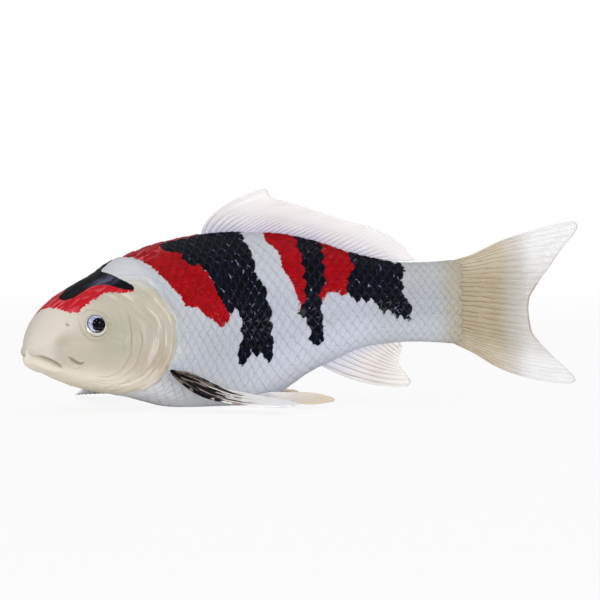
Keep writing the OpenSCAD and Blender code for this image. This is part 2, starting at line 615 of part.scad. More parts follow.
module body(side) {
    difference() {
        union() {
            half_shell(side);
            bosses(side);
            lid(side);
            if (side == LEFT) pins();
            peg_seat(pectoral_share * body_len, pectoral_angle, side);
            peg_seat(pelvic_share * body_len, pelvic_angle, side);
        }
        translate([-body_len, -body_len, -body_depth]) cube([2 * body_len, 2 * body_len, body_depth]);
        eye_socket(side);
        nostril(side);
        mouth_slit();
        tongue(glue_gap);
        peg_bore(pectoral_share * body_len, pectoral_angle, side);
        peg_bore(pelvic_share * body_len, pelvic_angle, side);
        if (side == RIGHT) pin_bores();
    }
}
module body_left() {
    color("ghostwhite") body(LEFT);
}
module body_right() {
    color("ghostwhite") body(RIGHT);
}
module pectoral_fin_left() {
    color("white") pectoral_fin(LEFT);
}
module pectoral_fin_right() {
    color("white") pectoral_fin(RIGHT);
}
module pelvic_fin_left() {
    color("oldlace") pelvic_fin(LEFT);
}
module pelvic_fin_right() {
    color("oldlace") pelvic_fin(RIGHT);
}
module eye_left() {
    color("silver") eye(LEFT);
}
module eye_right() {
    color("silver") eye(RIGHT);
}
module pupil_left() {
    color("black") pupil(LEFT);
}
module pupil_right() {
    color("black") pupil(RIGHT);
}

body_left();
body_right();
dorsal_fin();
tail_fin();
anal_fin();
pectoral_fin_left();
pectoral_fin_right();
pelvic_fin_left();
pelvic_fin_right();
eye_left();
eye_right();
pupil_left();
pupil_right();
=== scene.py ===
import math
import bpy
import numpy as np
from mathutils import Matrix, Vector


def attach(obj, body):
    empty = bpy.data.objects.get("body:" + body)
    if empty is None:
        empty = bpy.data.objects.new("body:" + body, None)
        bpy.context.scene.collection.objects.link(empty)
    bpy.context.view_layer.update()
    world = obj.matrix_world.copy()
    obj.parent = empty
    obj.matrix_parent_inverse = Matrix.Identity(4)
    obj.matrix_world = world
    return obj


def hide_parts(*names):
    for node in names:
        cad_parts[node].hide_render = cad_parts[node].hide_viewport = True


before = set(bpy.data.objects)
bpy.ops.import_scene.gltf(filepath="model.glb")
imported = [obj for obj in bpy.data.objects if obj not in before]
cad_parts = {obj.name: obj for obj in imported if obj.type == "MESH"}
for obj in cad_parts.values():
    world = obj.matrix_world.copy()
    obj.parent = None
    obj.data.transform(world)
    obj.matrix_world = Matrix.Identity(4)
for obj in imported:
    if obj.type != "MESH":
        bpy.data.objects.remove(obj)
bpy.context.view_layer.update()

# Shape of the fish, in millimetres.
# s runs along the bent middle line from the snout, a is the angle from the ridge of the back in degrees,
# negative on the left side, z is up.
LENGTH, DEPTH, WIDTH = 204.0, 58.0, 41.0
# Where its two bends begin and end, and the headings of head, trunk and tail tip in degrees
BEND = np.array([.186, .49, .69, 1.0]) * LENGTH
HEADINGS = (22.0, -14.0, -4.0)
# Middle of the patch on which it rests, the place of the origin
REST = .343 * LENGTH
# Stations: place, height of the back, height of the belly and half the width
STATIONS = np.array([
    [0, .355, .355, 0], [.0035, .417, .29, .15], [.0145, .479, .252, .295], [.034, .552, .217, .44],
    [.064, .634, .183, .59], [.103, .709, .141, .735], [.147, .773, .103, .865], [.196, .847, .072, .96],
    [.255, .92, .02, 1], [.314, .969, -.012, 1], [.373, 1, -.014, .975], [.431, 1.003, -.006, .915],
    [.49, .99, .076, .81], [.549, .941, .193, .655], [.608, .876, .31, .49], [.667, .831, .352, .35],
    [.725, .824, .359, .255], [.784, .838, .345, .175]]) * [LENGTH, DEPTH, DEPTH, WIDTH / 2]
# Share of the height at which the body is widest
WAIST = .44
# Where the trunk ends and the tail fin begins
BODY_END = .784 * LENGTH
# Rear edge of the gill cover: angle from the ridge and share of the length
GILL = [[0, .17], [32, .179], [46, .194], [57, .2085], [68, .221], [76, .232], [87, .2345], [98, .2325],
        [114, .224], [140, .203], [180, .165]]


def clamp(x, low=0, high=1.0):
    """x held between low and high."""
    return np.minimum(np.maximum(x, low), high)


def ease(x, low, high):
    """0 below low, 1 above high and 3 t^2 - 2 t^3 between."""
    t = clamp((np.asarray(x, float) - low) / (high - low))
    return t * t * (3 - 2 * t)


def bump(x, middle, half):
    """exp(-((x - middle) / half)^2)."""
    return np.exp(-(((x - middle) / half) ** 2))


def curve(x, table):
    """Smooth curve through the rows (place, value, ...) of a table: cubic Hermite between them, with slopes
    taken across the two neighbours."""
    table = np.asarray(table, float)
    at, v = table[:, 0], table[:, 1:]
    slope = np.gradient(v, at, axis=0)
    x = clamp(np.asarray(x, float), at[0], at[-1])
    i = clamp(np.searchsorted(at, x, side="right") - 1, 0, len(at) - 2).astype(int)
    step = at[i + 1] - at[i]
    t = ((x - at[i]) / step)[..., None]
    step = step[..., None]
    out = ((1 + 2 * t) * (1 - t) ** 2 * v[i] + t * (1 - t) ** 2 * step * slope[i]
           + t * t * (3 - 2 * t) * v[i + 1] + t * t * (t - 1) * step * slope[i + 1])
    return out[..., 0] if out.shape[-1] == 1 else out


def heading(s):
    """Heading of the middle line in degrees: straight head, an arc, a straight trunk and a weaker arc."""
    s = np.asarray(s, float)
    return (HEADINGS[0] + (HEADINGS[1] - HEADINGS[0]) * clamp((s - BEND[0]) / (BEND[1] - BEND[0]))
            + (HEADINGS[2] - HEADINGS[1]) * clamp((s - BEND[2]) / (BEND[3] - BEND[2])))


line_s = np.linspace(-10, LENGTH + 10, 8001)
line_step = line_s[1] - line_s[0]
line_way = np.radians(heading(line_s))
line_x = np.concatenate([[0], np.cumsum((np.cos(line_way[1:]) + np.cos(line_way[:-1])) / 2 * line_step)])
line_y = np.concatenate([[0], np.cumsum((np.sin(line_way[1:]) + np.sin(line_way[:-1])) / 2 * line_step)])
line_x -= np.interp(REST, line_s, line_x)
line_y -= np.interp(REST, line_s, line_y)


def place(s, y, z):
    """Point in millimetres: the middle line at s plus y along its right-hand normal, at height z."""
    s, y, z = np.broadcast_arrays(s, y, z)
    way = np.radians(heading(s))
    return np.stack([np.interp(s, line_s, line_x) - y * np.sin(way),
                     np.interp(s, line_s, line_y) + y * np.cos(way), z], -1)


def through(t):
    """Catmull-Rom curve through the stations, t counted along them."""
    n = len(STATIONS)
    t = clamp(np.asarray(t, float), 0, n - 1)
    i = clamp(np.floor(t), 0, n - 2).astype(int)
    f = (t - i)[..., None]
    a, b, c, d = (STATIONS[clamp(i + k, 0, n - 1).astype(int)] for k in (-1, 0, 1, 2))
    return .5 * (2 * b + (c - a) * f + (2 * a - 5 * b + 4 * c - d) * f * f
                  + (3 * b - a - 3 * c + d) * f ** 3)


knots = np.linspace(0, len(STATIONS) - 1, 4001)
knots_s = np.maximum.accumulate(through(knots)[:, 0]) + np.arange(4001) * 1e-9


def section(s):
    """Back height, belly height and half width at s."""
    q = through(np.interp(s, knots_s, knots))
    return q[..., 1], q[..., 2], np.maximum(q[..., 3], 0)


def flank(s, a):
    """Fish coordinates (y, z) of the smooth skin: y = w sin^(2/p), z = waist +- h |cos|^(2/p), p 2 above the
    waist and 2.3 below."""
    back, belly, half = section(s)
    waist = belly + (back - belly) * WAIST
    c, k = np.cos(np.radians(a)), np.sin(np.radians(a))
    up = c >= 0
    power = np.where(up, 2.0, 2.3)
    y = half * np.sign(k) * np.abs(k) ** (2 / power)
    z = np.where(up, waist + (back - waist) * np.abs(c), waist - (waist - belly) * np.abs(c) ** (2 / 2.3))
    return y, z


def outward(points):
    """Unit normals of a grid of points: cross product of its two gradients."""
    n = np.cross(np.gradient(points, axis=0), np.gradient(points, axis=1))
    return n / np.maximum(np.linalg.norm(n, axis=-1, keepdims=True), 1e-12)


def skin(s, a):
    """Point of the smooth skin."""
    return place(s, *flank(s, a))


def skin_grid(s, a):
    """Points of the smooth skin all the way round, their normals and their heights z. The grid is wrapped by
    one column at each side, so that the normals meet at the belly."""
    y, z = flank(s, a)
    base = place(s, y, z)
    wrap = np.concatenate([base[:, -1:], base, base[:, :1]], 1)
    return base, outward(wrap)[:, 1:-1], z


def skin_frame(s, a):
    """Point, outward normal, tailward and upward directions of the skin at one place."""
    side = math.copysign(1, a)
    along = skin(s + .4, a) - skin(s - .4, a)
    down = skin(s, a + .5 * side) - skin(s, a - .5 * side)
    n = np.cross(along, down) * side
    n, along = n / np.linalg.norm(n), along / np.linalg.norm(along)
    up = np.cross(n, along)
    return skin(s, a), n, along, up * math.copysign(1, up[2])


# Turning grids into pieces
def piece(name, points, index, fields, finish, nodes):
    """A mesh from points in millimetres and a grid of vertex numbers: neighbours in the grid make a quad,
    and where two corners are the same vertex it is a triangle. Fields are numbers kept per vertex."""
    quads = np.stack([index[:-1, :-1], index[1:, :-1], index[1:, 1:], index[:-1, 1:]], -1).reshape(-1, 4)
    same = np.stack([quads[:, k] == quads[:, (k + 1) % 4] for k in range(4)], -1)
    full = quads[~same.any(1)]
    thin = quads[same.sum(1) == 1]
    keep = ~np.roll(same[same.sum(1) == 1], 1, axis=1)
    tris = thin[keep].reshape(-1, 3)
    loops = np.concatenate([full.ravel(), tris.ravel()])
    sizes = np.concatenate([np.full(len(full), 4), np.full(len(tris), 3)])
    mesh = bpy.data.meshes.new(name)
    mesh.vertices.add(len(points))
    mesh.vertices.foreach_set("co", (np.asarray(points) * .001).astype(np.float32).ravel())
    mesh.loops.add(len(loops))
    mesh.loops.foreach_set("vertex_index", loops.astype(np.int32))
    mesh.polygons.add(len(sizes))
    mesh.polygons.foreach_set("loop_start", (np.cumsum(sizes) - sizes).astype(np.int32))
    mesh.polygons.foreach_set("use_smooth", np.ones(len(sizes), bool))
    mesh.update(calc_edges=True)
    mesh.validate()
    for key, values in fields.items():
        kept = mesh.attributes.new(key, "FLOAT", "POINT").data
        kept.foreach_set("value", values.astype(np.float32).ravel())
    mesh.materials.append(finish)
    made = shown(name, mesh)
    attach(made, "root")
    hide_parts(*nodes)


def closed_tube(name, rows, fields, finish, slot, *nodes):
    """A closed form from rings: the grid wraps round, and the first and last ring shrink to a point."""
    n, m = rows.shape[:2]
    index = np.arange(n * m).reshape(n, m)
    index = np.concatenate([index, index[:, :1]], 1)
    index[0], index[-1] = index[0, 0], index[-1, 0]
    piece(name, rows.reshape(-1, 3), index, fields, finish, nodes)


def closed_blade(name, middle, half, fields, finish, slot, *nodes):
    """A thin closed form: the middle sheet moved half a thickness to both sides along its normal. The sheets
    share their border, where the thickness is zero, so that the rim is round."""
    n, m = middle.shape[:2]
    normal = outward(middle)
    half = half.copy()
    for grid in (half, half.T):
        grid[0], grid[-1] = 0, 0
    near = middle + normal * half[..., None]
    far = middle - normal * half[..., None]
    a = np.arange(n * m).reshape(n, m)
    b = a + n * m
    for back, front in ((b, a), (b.T, a.T)):
        back[0], back[-1] = front[0], front[-1]
    points = np.concatenate([near.reshape(-1, 3), far.reshape(-1, 3)])
    fields = {key: np.tile(values.ravel(), 2) for key, values in fields.items()}
    piece(name, points, np.concatenate([a, b[::-1][1:]]), fields, finish, nodes)


# Finishes
def colour(r, g, b):
    """Linear colour from the 0 to 255 values that a screen shows."""
    share = np.array([r, g, b]) / 255.0
    return tuple(np.where(share <= .04045, share / 12.92, ((share + .055) / 1.055) ** 2.4)) + (1.0,)


class Value:
    """What a node gives, such as a number that varies over a surface; sums on it add Math nodes."""

    def __init__(self, graph, socket):
        self.graph, self.socket = graph, socket

    def sum(self, operation, other):
        return self.graph.node("ShaderNodeMath", {"operation": operation}, {0: self, 1: other})

    def __add__(self, other):
        return self.sum("ADD", other)

    def __mul__(self, other):
        return self.sum("MULTIPLY", other)

    def __sub__(self, other):
        return self.sum("SUBTRACT", other)

    def __rsub__(self, other):
        return self * -1.0 + other

    __radd__, __rmul__ = __add__, __mul__

    def most(self, other):
        return self.sum("MAXIMUM", other)

    def step(self, low, high):
        """0 to 1 as the number goes from low to high, smoothly."""
        return self.graph.node("ShaderNodeMapRange", {"interpolation_type": "SMOOTHSTEP"},
                               {0: self, 1: low, 2: high})

    def below(self, low, high):
        """1 to 0 as the number goes from low to high, smoothly."""
        return (high - self).step(0, high - low)

    def apart(self, middle):
        """How far the number is from another."""
        return (self - middle).most(middle - self)


class Graph:
    """A node tree under way."""

    def __init__(self, tree):
        self.tree = tree

    def node(self, kind, settings, inputs, output=0):
        """Adds a node with its settings and its inputs, fixed or a Value, and gives one output."""
        made = self.tree.nodes.new(kind)
        for key, value in settings.items():
            setattr(made, key, value)
        for key, value in inputs.items():
            if isinstance(value, Value):
                self.tree.links.new(value.socket, made.inputs[key])
            else:
                made.inputs[key].default_value = value
        return Value(self, made.outputs[output])

    def ray(self, kind):
        return self.node("ShaderNodeLightPath", {}, {}, f"Is {kind} Ray")

    def end(self, share, first, second, output):
        """Gives the tree's last node a mix of the shader it starts with and another."""
        first = Value(self, self.tree.nodes[first].outputs[0])
        mix = self.node("ShaderNodeMixShader", {}, {0: share, 1: first, 2: second})
        self.tree.links.new(mix.socket, self.tree.nodes[output].inputs[0])


class Finish(Graph):
    """A material under way: one Principled shader, and what is fed to it."""

    def __init__(self, name, **fixed):
        self.material = bpy.data.materials.new(name)
        self.material.use_nodes = True
        super().__init__(self.material.node_tree)
        self.shader = self.tree.nodes["Principled BSDF"]
        for key, value in fixed.items():
            self.shader.inputs[key.replace("_", " ")].default_value = value

    def field(self, name):
        return self.node("ShaderNodeAttribute", {"attribute_name": name}, {}, "Fac")

    def spot(self):
        return self.node("ShaderNodeTexCoord", {}, {}, "Object")

    def noise(self, scale, detail=3.0, rough=.55, where=None):
        return self.node("ShaderNodeTexNoise", {}, {"Vector": where or self.spot(), "Scale": scale,
                                                    "Detail": detail, "Roughness": rough})

    def strokes(self, x, y, z, detail=3.0, rough=.6):
        """Noise at a place made of three numbers, so that it can follow the body or the rays of a fin."""
        return self.noise(1.0, detail, rough, self.node("ShaderNodeCombineXYZ", {}, {0: x, 1: y, 2: z}))

    def blend(self, share, first, second, how="MIX"):
        """Mix of two colours, each a Value or three numbers from 0 to 255."""
        first, second = (c if isinstance(c, Value) else colour(*c) for c in (first, second))
        return self.node("ShaderNodeMix", {"data_type": "RGBA", "blend_type": how},
                         {0: share, 6: first, 7: second}, 2)

    def layers(self, base, *coats):
        """Coats laid over a base one after the other, each a pair of its share and its colour."""
        for share, paint in coats:
            base = self.blend(share, base, paint)
        return base

    def relief(self, height, distance, strength):
        inputs = {"Strength": strength, "Distance": distance, "Height": height}
        return self.node("ShaderNodeBump", {}, inputs)

    def feed(self, **values):
        for key, value in values.items():
            self.tree.links.new(value.socket, self.shader.inputs[key.replace("_", " ")])
        return self.material

    def satin(self, base):
        """Feeds a fin's paint, with a satin gloss and a fine grain."""
        fine = self.noise(900)
        grain = self.relief(fine, .00005, .5)
        return self.feed(Base_Color=base, Roughness=.5 + fine * .12, Normal=grain)


# Painted pattern
# Outlines of the patches: share of the length and angle from the ridge, left side negative.
HEAD_RED = [
    (.033, 22), (.038, 8), (.044, -9), (.047, -20), (.054, -36), (.067, -48), (.073, -44), (.083, -41),
    (.089, -42), (.094, -38), (.104, -40), (.11, -37), (.12, -36), (.13, -38), (.142, -43), (.156, -45),
    (.164, -46), (.168, -44), (.163, -38), (.157, -31), (.15, -20), (.149, 0), (.152, 20), (.158, 38),
    (.16, 46), (.14, 47), (.12, 42), (.1, 44), (.085, 50), (.07, 46), (.055, 44), (.043, 36)]
HEAD_BLACK = [
    (.0812, -22.5), (.0725, -23), (.0615, -16), (.0615, -6), (.0695, 1), (.088, 9), (.102, 18), (.12, 34),
    (.142, 43), (.16, 50), (.168, 46), (.16, 34), (.168, 20), (.185, 12), (.192, 6), (.178, 6), (.163, 5),
    (.152, -1), (.1525, -11), (.1565, -26), (.161, -33), (.167, -38), (.17, -44), (.164, -45), (.147, -38),
    (.137, -30), (.129, -25), (.113, -20), (.098, -20.5), (.088, -21)]
RED_ONE = [
    (.199, 26), (.2, 14), (.209, -4), (.213, -23), (.222, -35), (.228, -44), (.238, -55), (.252, -62),
    (.258, -69), (.272, -72), (.286, -71), (.298, -76), (.315, -79), (.324, -82), (.338, -86), (.344, -86),
    (.354, -80), (.346, -71), (.342, -66), (.326, -59), (.314, -50), (.306, -43), (.3, -30), (.33, -10),
    (.35, 4), (.36, 18), (.345, 32), (.34, 46), (.348, 60), (.35, 74), (.338, 84), (.32, 78), (.305, 82),
    (.29, 70), (.27, 66), (.25, 52), (.235, 44), (.215, 38)]
BLACK_ONE = [
    (.264, -2), (.275, 2), (.293, -5), (.329, -7), (.345, 3), (.35, 16), (.335, 30), (.333, 46), (.34, 60),
    (.345, 76), (.36, 84), (.37, 96), (.385, 104), (.4, 98), (.408, 84), (.404, 70), (.412, 58), (.42, 40),
    (.416, 20), (.412, -1), (.41, -27), (.421, -39), (.42, -52), (.429, -61), (.44, -66), (.448, -76),
    (.449, -86), (.456, -100), (.45, -112), (.439, -111), (.426, -104), (.404, -104), (.401, -108),
    (.382, -113), (.377, -106), (.385, -94), (.383, -86), (.382, -78), (.372, -74), (.357, -78),
    (.345, -81), (.351, -77), (.344, -69), (.33, -59), (.318, -51), (.309, -43), (.287, -40), (.281, -28),
    (.272, -24), (.258, -18)]
RED_TWO = [
    (.452, -26), (.452, -12), (.458, 2), (.456, 14), (.464, 30), (.476, 46), (.488, 58), (.496, 70),
    (.504, 62), (.508, 50), (.503, 34), (.5, 18), (.504, 2), (.507, -18), (.514, -36), (.512, -50),
    (.516, -58), (.519, -68), (.515, -77), (.509, -82), (.508, -77), (.502, -71), (.494, -62), (.478, -52),
    (.477, -46), (.47, -34)]
BLACK_TWO = [
    (.504, -18), (.502, -2), (.499, 20), (.503, 36), (.508, 50), (.503, 64), (.51, 82), (.518, 98),
    (.533, 108), (.546, 102), (.544, 88), (.538, 74), (.544, 60), (.554, 44), (.55, 24), (.548, -2),
    (.551, -27), (.552, -38), (.55, -53), (.552, -61), (.546, -68), (.54, -74), (.545, -84), (.548, -92),
    (.545, -96), (.546, -104), (.548, -113), (.542, -117), (.527, -108), (.522, -102), (.524, -93),
    (.518, -88), (.506, -86), (.506, -84), (.513, -78), (.518, -69), (.515, -57), (.511, -48), (.512, -36)]
RED_THREE = [
    (.547, -11), (.549, 4), (.553, 24), (.556, 44), (.55, 58), (.56, 68), (.575, 62), (.588, 48), (.59, 28),
    (.584, 8), (.585, -2), (.594, -16), (.6, -34), (.6, -51), (.592, -60), (.585, -70), (.567, -72),
    (.55, -71), (.541, -76), (.549, -61), (.55, -50), (.551, -30)]
BLACK_THREE = [
    (.594, -13), (.598, 0), (.592, 18), (.598, 36), (.596, 54), (.604, 66), (.623, 62), (.638, 74),
    (.658, 84), (.678, 80), (.688, 62), (.682, 44), (.67, 30), (.662, 12), (.655, 0), (.667, -9),
    (.684, -16), (.69, -31), (.689, -47), (.681, -54), (.684, -64), (.694, -76), (.701, -90), (.703, -105),
    (.693, -108), (.672, -98), (.668, -91), (.659, -94), (.647, -90), (.641, -82), (.627, -83), (.608, -82),
    (.596, -75), (.585, -78), (.584, -71), (.592, -60), (.6, -50), (.6, -34)]

around = np.linspace(-180, 180, 721)
table_s = np.linspace(0, BODY_END, 400)


def girth_table():
    """Distance round the skin from the ridge, in millimetres, for places along the length and angles."""
    y, z = flank(table_s[:, None], around[None, :])
    step = np.hypot(np.diff(y, axis=1), np.diff(z, axis=1))
    run = np.concatenate([np.zeros((len(table_s), 1)), np.cumsum(step, axis=1)], 1)
    return run - run[:, 360:361]


girths = girth_table()


def girth(s, a):
    """Distance round the skin from the ridge, negative on the left side."""
    i = clamp(np.asarray(s, float) / table_s[-1] * (len(table_s) - 1), 0, len(table_s) - 1.001)
    j = clamp((np.asarray(a, float) + 180) * 2, 0, 719.999)
    i0, j0 = i.astype(int), j.astype(int)
    fi, fj = i - i0, j - j0
    return ((girths[i0, j0] * (1 - fj) + girths[i0, j0 + 1] * fj) * (1 - fi)
            + (girths[i0 + 1, j0] * (1 - fj) + girths[i0 + 1, j0 + 1] * fj) * fi)


def rounded(outline, share=.2):
    """The outline with its corners cut off, a fifth of every side from each end."""
    after = np.roll(outline, -1, axis=0)
    cut = [outline * (1 - share) + after * share, outline * share + after * (1 - share)]
    return np.stack(cut, 1).reshape(-1, 2)


def nearest(x, y, way):
    """Distance to a line of straight parts, on which side of it, and the share of the way along it."""
    best, side, along = np.full(np.shape(x), 1e9), np.zeros(np.shape(x)), np.zeros(np.shape(x))
    for i, ((ax, ay), (bx, by)) in enumerate(zip(way, way[1:])):
        dx, dy = bx - ax, by - ay
        t = clamp(((x - ax) * dx + (y - ay) * dy) / (dx * dx + dy * dy))
        d = (x - ax - t * dx) ** 2 + (y - ay - t * dy) ** 2
        near = d < best
        best = np.where(near, d, best)
        side = np.where(near, (x - ax) * dy - (y - ay) * dx, side)
        along = np.where(near, (i + t) / (len(way) - 1), along)
    return np.sqrt(best), side, along


def inside(s, a, outline):
    """Signed distance in millimetres to a closed outline on the unrolled skin, positive inside: a place is
    inside when a line from it towards the tail crosses the outline an odd number of times."""
    q = np.array(outline, float)
    q = rounded(np.stack([q[:, 0] * LENGTH, girth(q[:, 0] * LENGTH, q[:, 1])], -1))
    q = np.concatenate([q, q[:1]])
    x, y = np.asarray(s, float), girth(s, a)
    odd = np.zeros(np.shape(x), bool)
    for (ax, ay), (bx, by) in zip(q, q[1:]):
        rise = by - ay if abs(by - ay) > 1e-9 else 1e-9
        odd ^= ((ay > y) != (by > y)) & (x < ax + (y - ay) * (bx - ax) / rise)
    return nearest(x, y, q)[0] * np.where(odd, 1, -1)


def most_inside(s, a, outlines):
    """The greatest of the signed distances to several outlines."""
    return np.max([inside(s, a, outline) for outline in outlines], axis=0)


def under(red, black):
    """Red also fills what lies within 1.3 mm of both colours, so no white shows between them."""
    return np.maximum(red, np.minimum(red, black) + 1.3)


# Scales of the trunk
# Length of a scale and distance between two rows where the trunk begins, in millimetres
SCALE_LONG, SCALE_HIGH = 3.8, 2.45
# Random numbers of the scales, for the place of the edge and the tone
scale_noise = np.random.default_rng(7).random((64, 128, 3))


def lattice(s, a):
    """Scale coordinates: u along the length and v round the skin from the lateral line, in millimetres. The
    scales shrink towards the tail, and the rows keep to the lateral line."""
    shrink = 1 - .3 * ease(s, 90, 165)
    line = girth(s, np.sign(a) * 84.0)
    v = (np.abs(girth(s, a)) - np.abs(line)) / shrink
    grid = np.linspace(0, LENGTH, 400)
    run = np.cumsum(1 / (1 - .3 * ease(grid[1:], 90, 165)))
    u = np.interp(s, grid, np.concatenate([[0], run]) * grid[1])
    return u, v


def scales(s, a):
    """Relief of overlapping scales: the way to the free edge of the scale that shows at each place, the way
    to its middle along and round the body, and a tone of its own. The scale of column i and row j has its
    free edge at u = centre + long sqrt(1 - (dv / high)^2), and of those that reach a place the foremost
    shows."""
    u, v = lattice(s, a)
    row = np.round(v / SCALE_HIGH)
    first = np.full(np.shape(u), 1e9)
    gap, middle_u, middle_v, tone = SCALE_LONG + first * 0, u * 0, v * 0, u * 0
    for dj in (-1, 0, 1):
        j = row + dj
        shift = np.where(np.mod(j, 2) == 0, 0, .5)
        dv = (v - j * SCALE_HIGH) / (SCALE_HIGH * 1.12)
        reach = SCALE_LONG * .92 * np.sqrt(clamp(1 - dv * dv, 0, 1))
        near = np.floor(u / SCALE_LONG - shift)
        for di in (-1, 0, 1):
            centre = (near + di + shift) * SCALE_LONG
            r = scale_noise[np.mod(near + di, 64).astype(int), np.mod(j + (a > 0) * 40, 128).astype(int)]
            to_edge = centre + reach - u + (r[..., 0] - .5) * .25
            rank = centre + np.abs(dv) * .3
            shows = (to_edge >= 0) & (np.abs(dv) < 1) & (rank < first)
            first = np.where(shows, rank, first)
            gap = np.where(shows, to_edge, gap)
            middle_u = np.where(shows, centre + .42 * SCALE_LONG, middle_u)
            middle_v = np.where(shows, j * SCALE_HIGH, middle_v)
            tone = np.where(shows, r[..., 1], tone)
    return gap, middle_u - u, middle_v - v, tone


def gill_line(a):
    """Place of the rear edge of the gill cover at an angle."""
    return curve(np.abs(a), GILL) * LENGTH


# Where the head piece ends: angle from the ridge and share of the length
SEAM = [[0, .2], [25, .2035], [45, .2115], [57, .2175], [68, .2235], [76, .2305], [87, .2345], [98, .2325],
        [109, .2265], [117, .219], [128, .209], [140, .2], [180, .165]]


def seam_line(a):
    """Place where the head piece ends: on the gill cover's edge at the sides, further back over the nape."""
    return curve(np.abs(a), SEAM) * LENGTH


def beside(s, a, table):
    """Signed distance in millimetres to a smooth line on the unrolled skin, positive behind it or under it,
    and the share of the way along the line. The table holds places on it: share of the length, and angle."""
    n = len(table)
    way = curve(np.linspace(0, n - 1, 3 * n), [[i, *row] for i, row in enumerate(table)])
    line = np.stack([way[:, 0] * LENGTH, girth(way[:, 0] * LENGTH, way[:, 1])], -1)
    d, side, along = nearest(s, girth(s, np.abs(a)), line)
    return np.copysign(d, side), along


# Head
# Eye: place along the body, angle, radius and height
EYE_S, EYE_A, EYE_R, EYE_Z = .0887 * LENGTH, 68.5, 3.6, 28.8
# Folds of the head: height, width before and behind in millimetres, depth of the brown painted shade in its
# lee, and the line itself
FOLDS = [
    (.30, .9, .9, 0, [(.1114, 53), (.1138, 61.5), (.1138, 72), (.1082, 81.5), (.098, 87.5)]),
    (.18, 1.0, .6, 0, [(.1287, 53), (.127, 66.5), (.1287, 78), (.1287, 91.5), (.127, 102.5)]),
    (.42, 1.5, .3, 1, [(.1389, 53), (.1415, 61.5), (.1415, 72), (.1415, 85.5), (.1424, 92), (.1415, 98.5),
     (.138, 105.5), (.1346, 113), (.1321, 118.5), (.127, 124), (.1195, 129), (.1035, 134.5), (.0864, 134)]),
    (.22, .5, .5, 0, [(.147, 70), (.1495, 80), (.151, 92), (.148, 100)]),
    (.42, 1.1, .3, 1, [(.1511, 68), (.1564, 78), (.1591, 86.5), (.16, 91), (.1582, 97), (.1555, 104),
     (.1529, 111.5), (.1485, 117.5), (.1424, 123.5), (.1338, 132.5), (.1195, 137.5), (.1035, 140),
     (.0834, 141)]),
    (.28, 1.2, .3, .7, [(.1754, 99.5), (.1745, 108.5), (.1726, 114), (.1699, 120.5), (.1627, 130),
     (.1547, 136.5), (.1398, 141), (.1204, 144), (.0972, 146), (.0804, 147)]),
    (.45, 1.2, .3, 1, [(.1938, 114), (.1859, 120), (.182, 125.5), (.1754, 132), (.1681, 137), (.1591, 142),
     (.1485, 147), (.1355, 149), (.1155, 151), (.0918, 153.5)]),
    (.24, 1.0, .3, .5, [(.2107, 125.5), (.2063, 133.5), (.1979, 141), (.1898, 147.5), (.1754, 154.5)]),
    (.2, .8, .3, .4, [(.17, 150), (.15, 154), (.125, 157), (.1, 159)]),
    (.18, .8, .3, .4, [(.16, 160), (.13, 163), (.1, 165)]),
    (.2, .6, .3, .4, [(.2, 65.5), (.2118, 73.5), (.2185, 81), (.2185, 94.5), (.2174, 102.5), (.2118, 109)]),
    (.17, .5, .3, .3, [(.2215, 76), (.2262, 84), (.226, 94), (.2235, 103), (.219, 110)]),
    (.14, .6, .3, .2, [(.182, 62), (.195, 72), (.203, 82), (.204, 94), (.201, 106), (.195, 116)]),
    (.4, 1.8, .5, .3, [(.1547, 16), (.1672, 28), (.1811, 34.5), (.1979, 48.5), (.2063, 59), (.2196, 68),
     (.2276, 75)]),
    (.14, .6, .4, .15, [(.168, 14), (.18, 27), (.197, 40)]),
    (.12, .6, .4, .15, [(.18, 12), (.19, 26), (.207, 42)]),
    (.26, .6, .5, 0, [(.165, 79), (.1705, 92)]),
    (.32, .5, .4, 0, [(.196, 91), (.1935, 99)]),
    (.3, .4, .4, 0, [(.2185, 94), (.217, 101)])]
BARBEL = [(.0376, 99.5), (.0466, 106), (.0518, 110.5), (.0592, 115.5), (.0656, 116.5), (.0704, 113)]
# The upper lip's edge and the height where the lower lip begins: s and z
UPPER_LIP = [[.3, 19.1], [1, 19.05], [1.7, 19.1], [2.8, 18.6], [4.05, 18.0], [5.55, 17.1], [6.9, 16.15],
             [8.3, 14.85], [9.5, 13.6]]
LOWER_LIP = [[.3, 18.7], [1.8, 17.8], [3.4, 16.7], [5.3, 15.5], [7.1, 14.65], [8.3, 14.3], [9.5, 13.3]]
# Places on the head: s and z, and for the pocket under the gill cover s and angle
NOSTRIL_S, NOSTRIL_Z = 9.74, 29.1
HOLLOW_S, HOLLOW_Z = 7.6, 24.5
BROW_S, BROW_Z = 18.0, 36.5
POCKET_S, POCKET_A = 44.6, 114.0


def fold(x, before, behind):
    """A ridge that climbs over the width before and drops over the width behind."""
    return bump(x, 0, np.where(x < 0, before, behind))


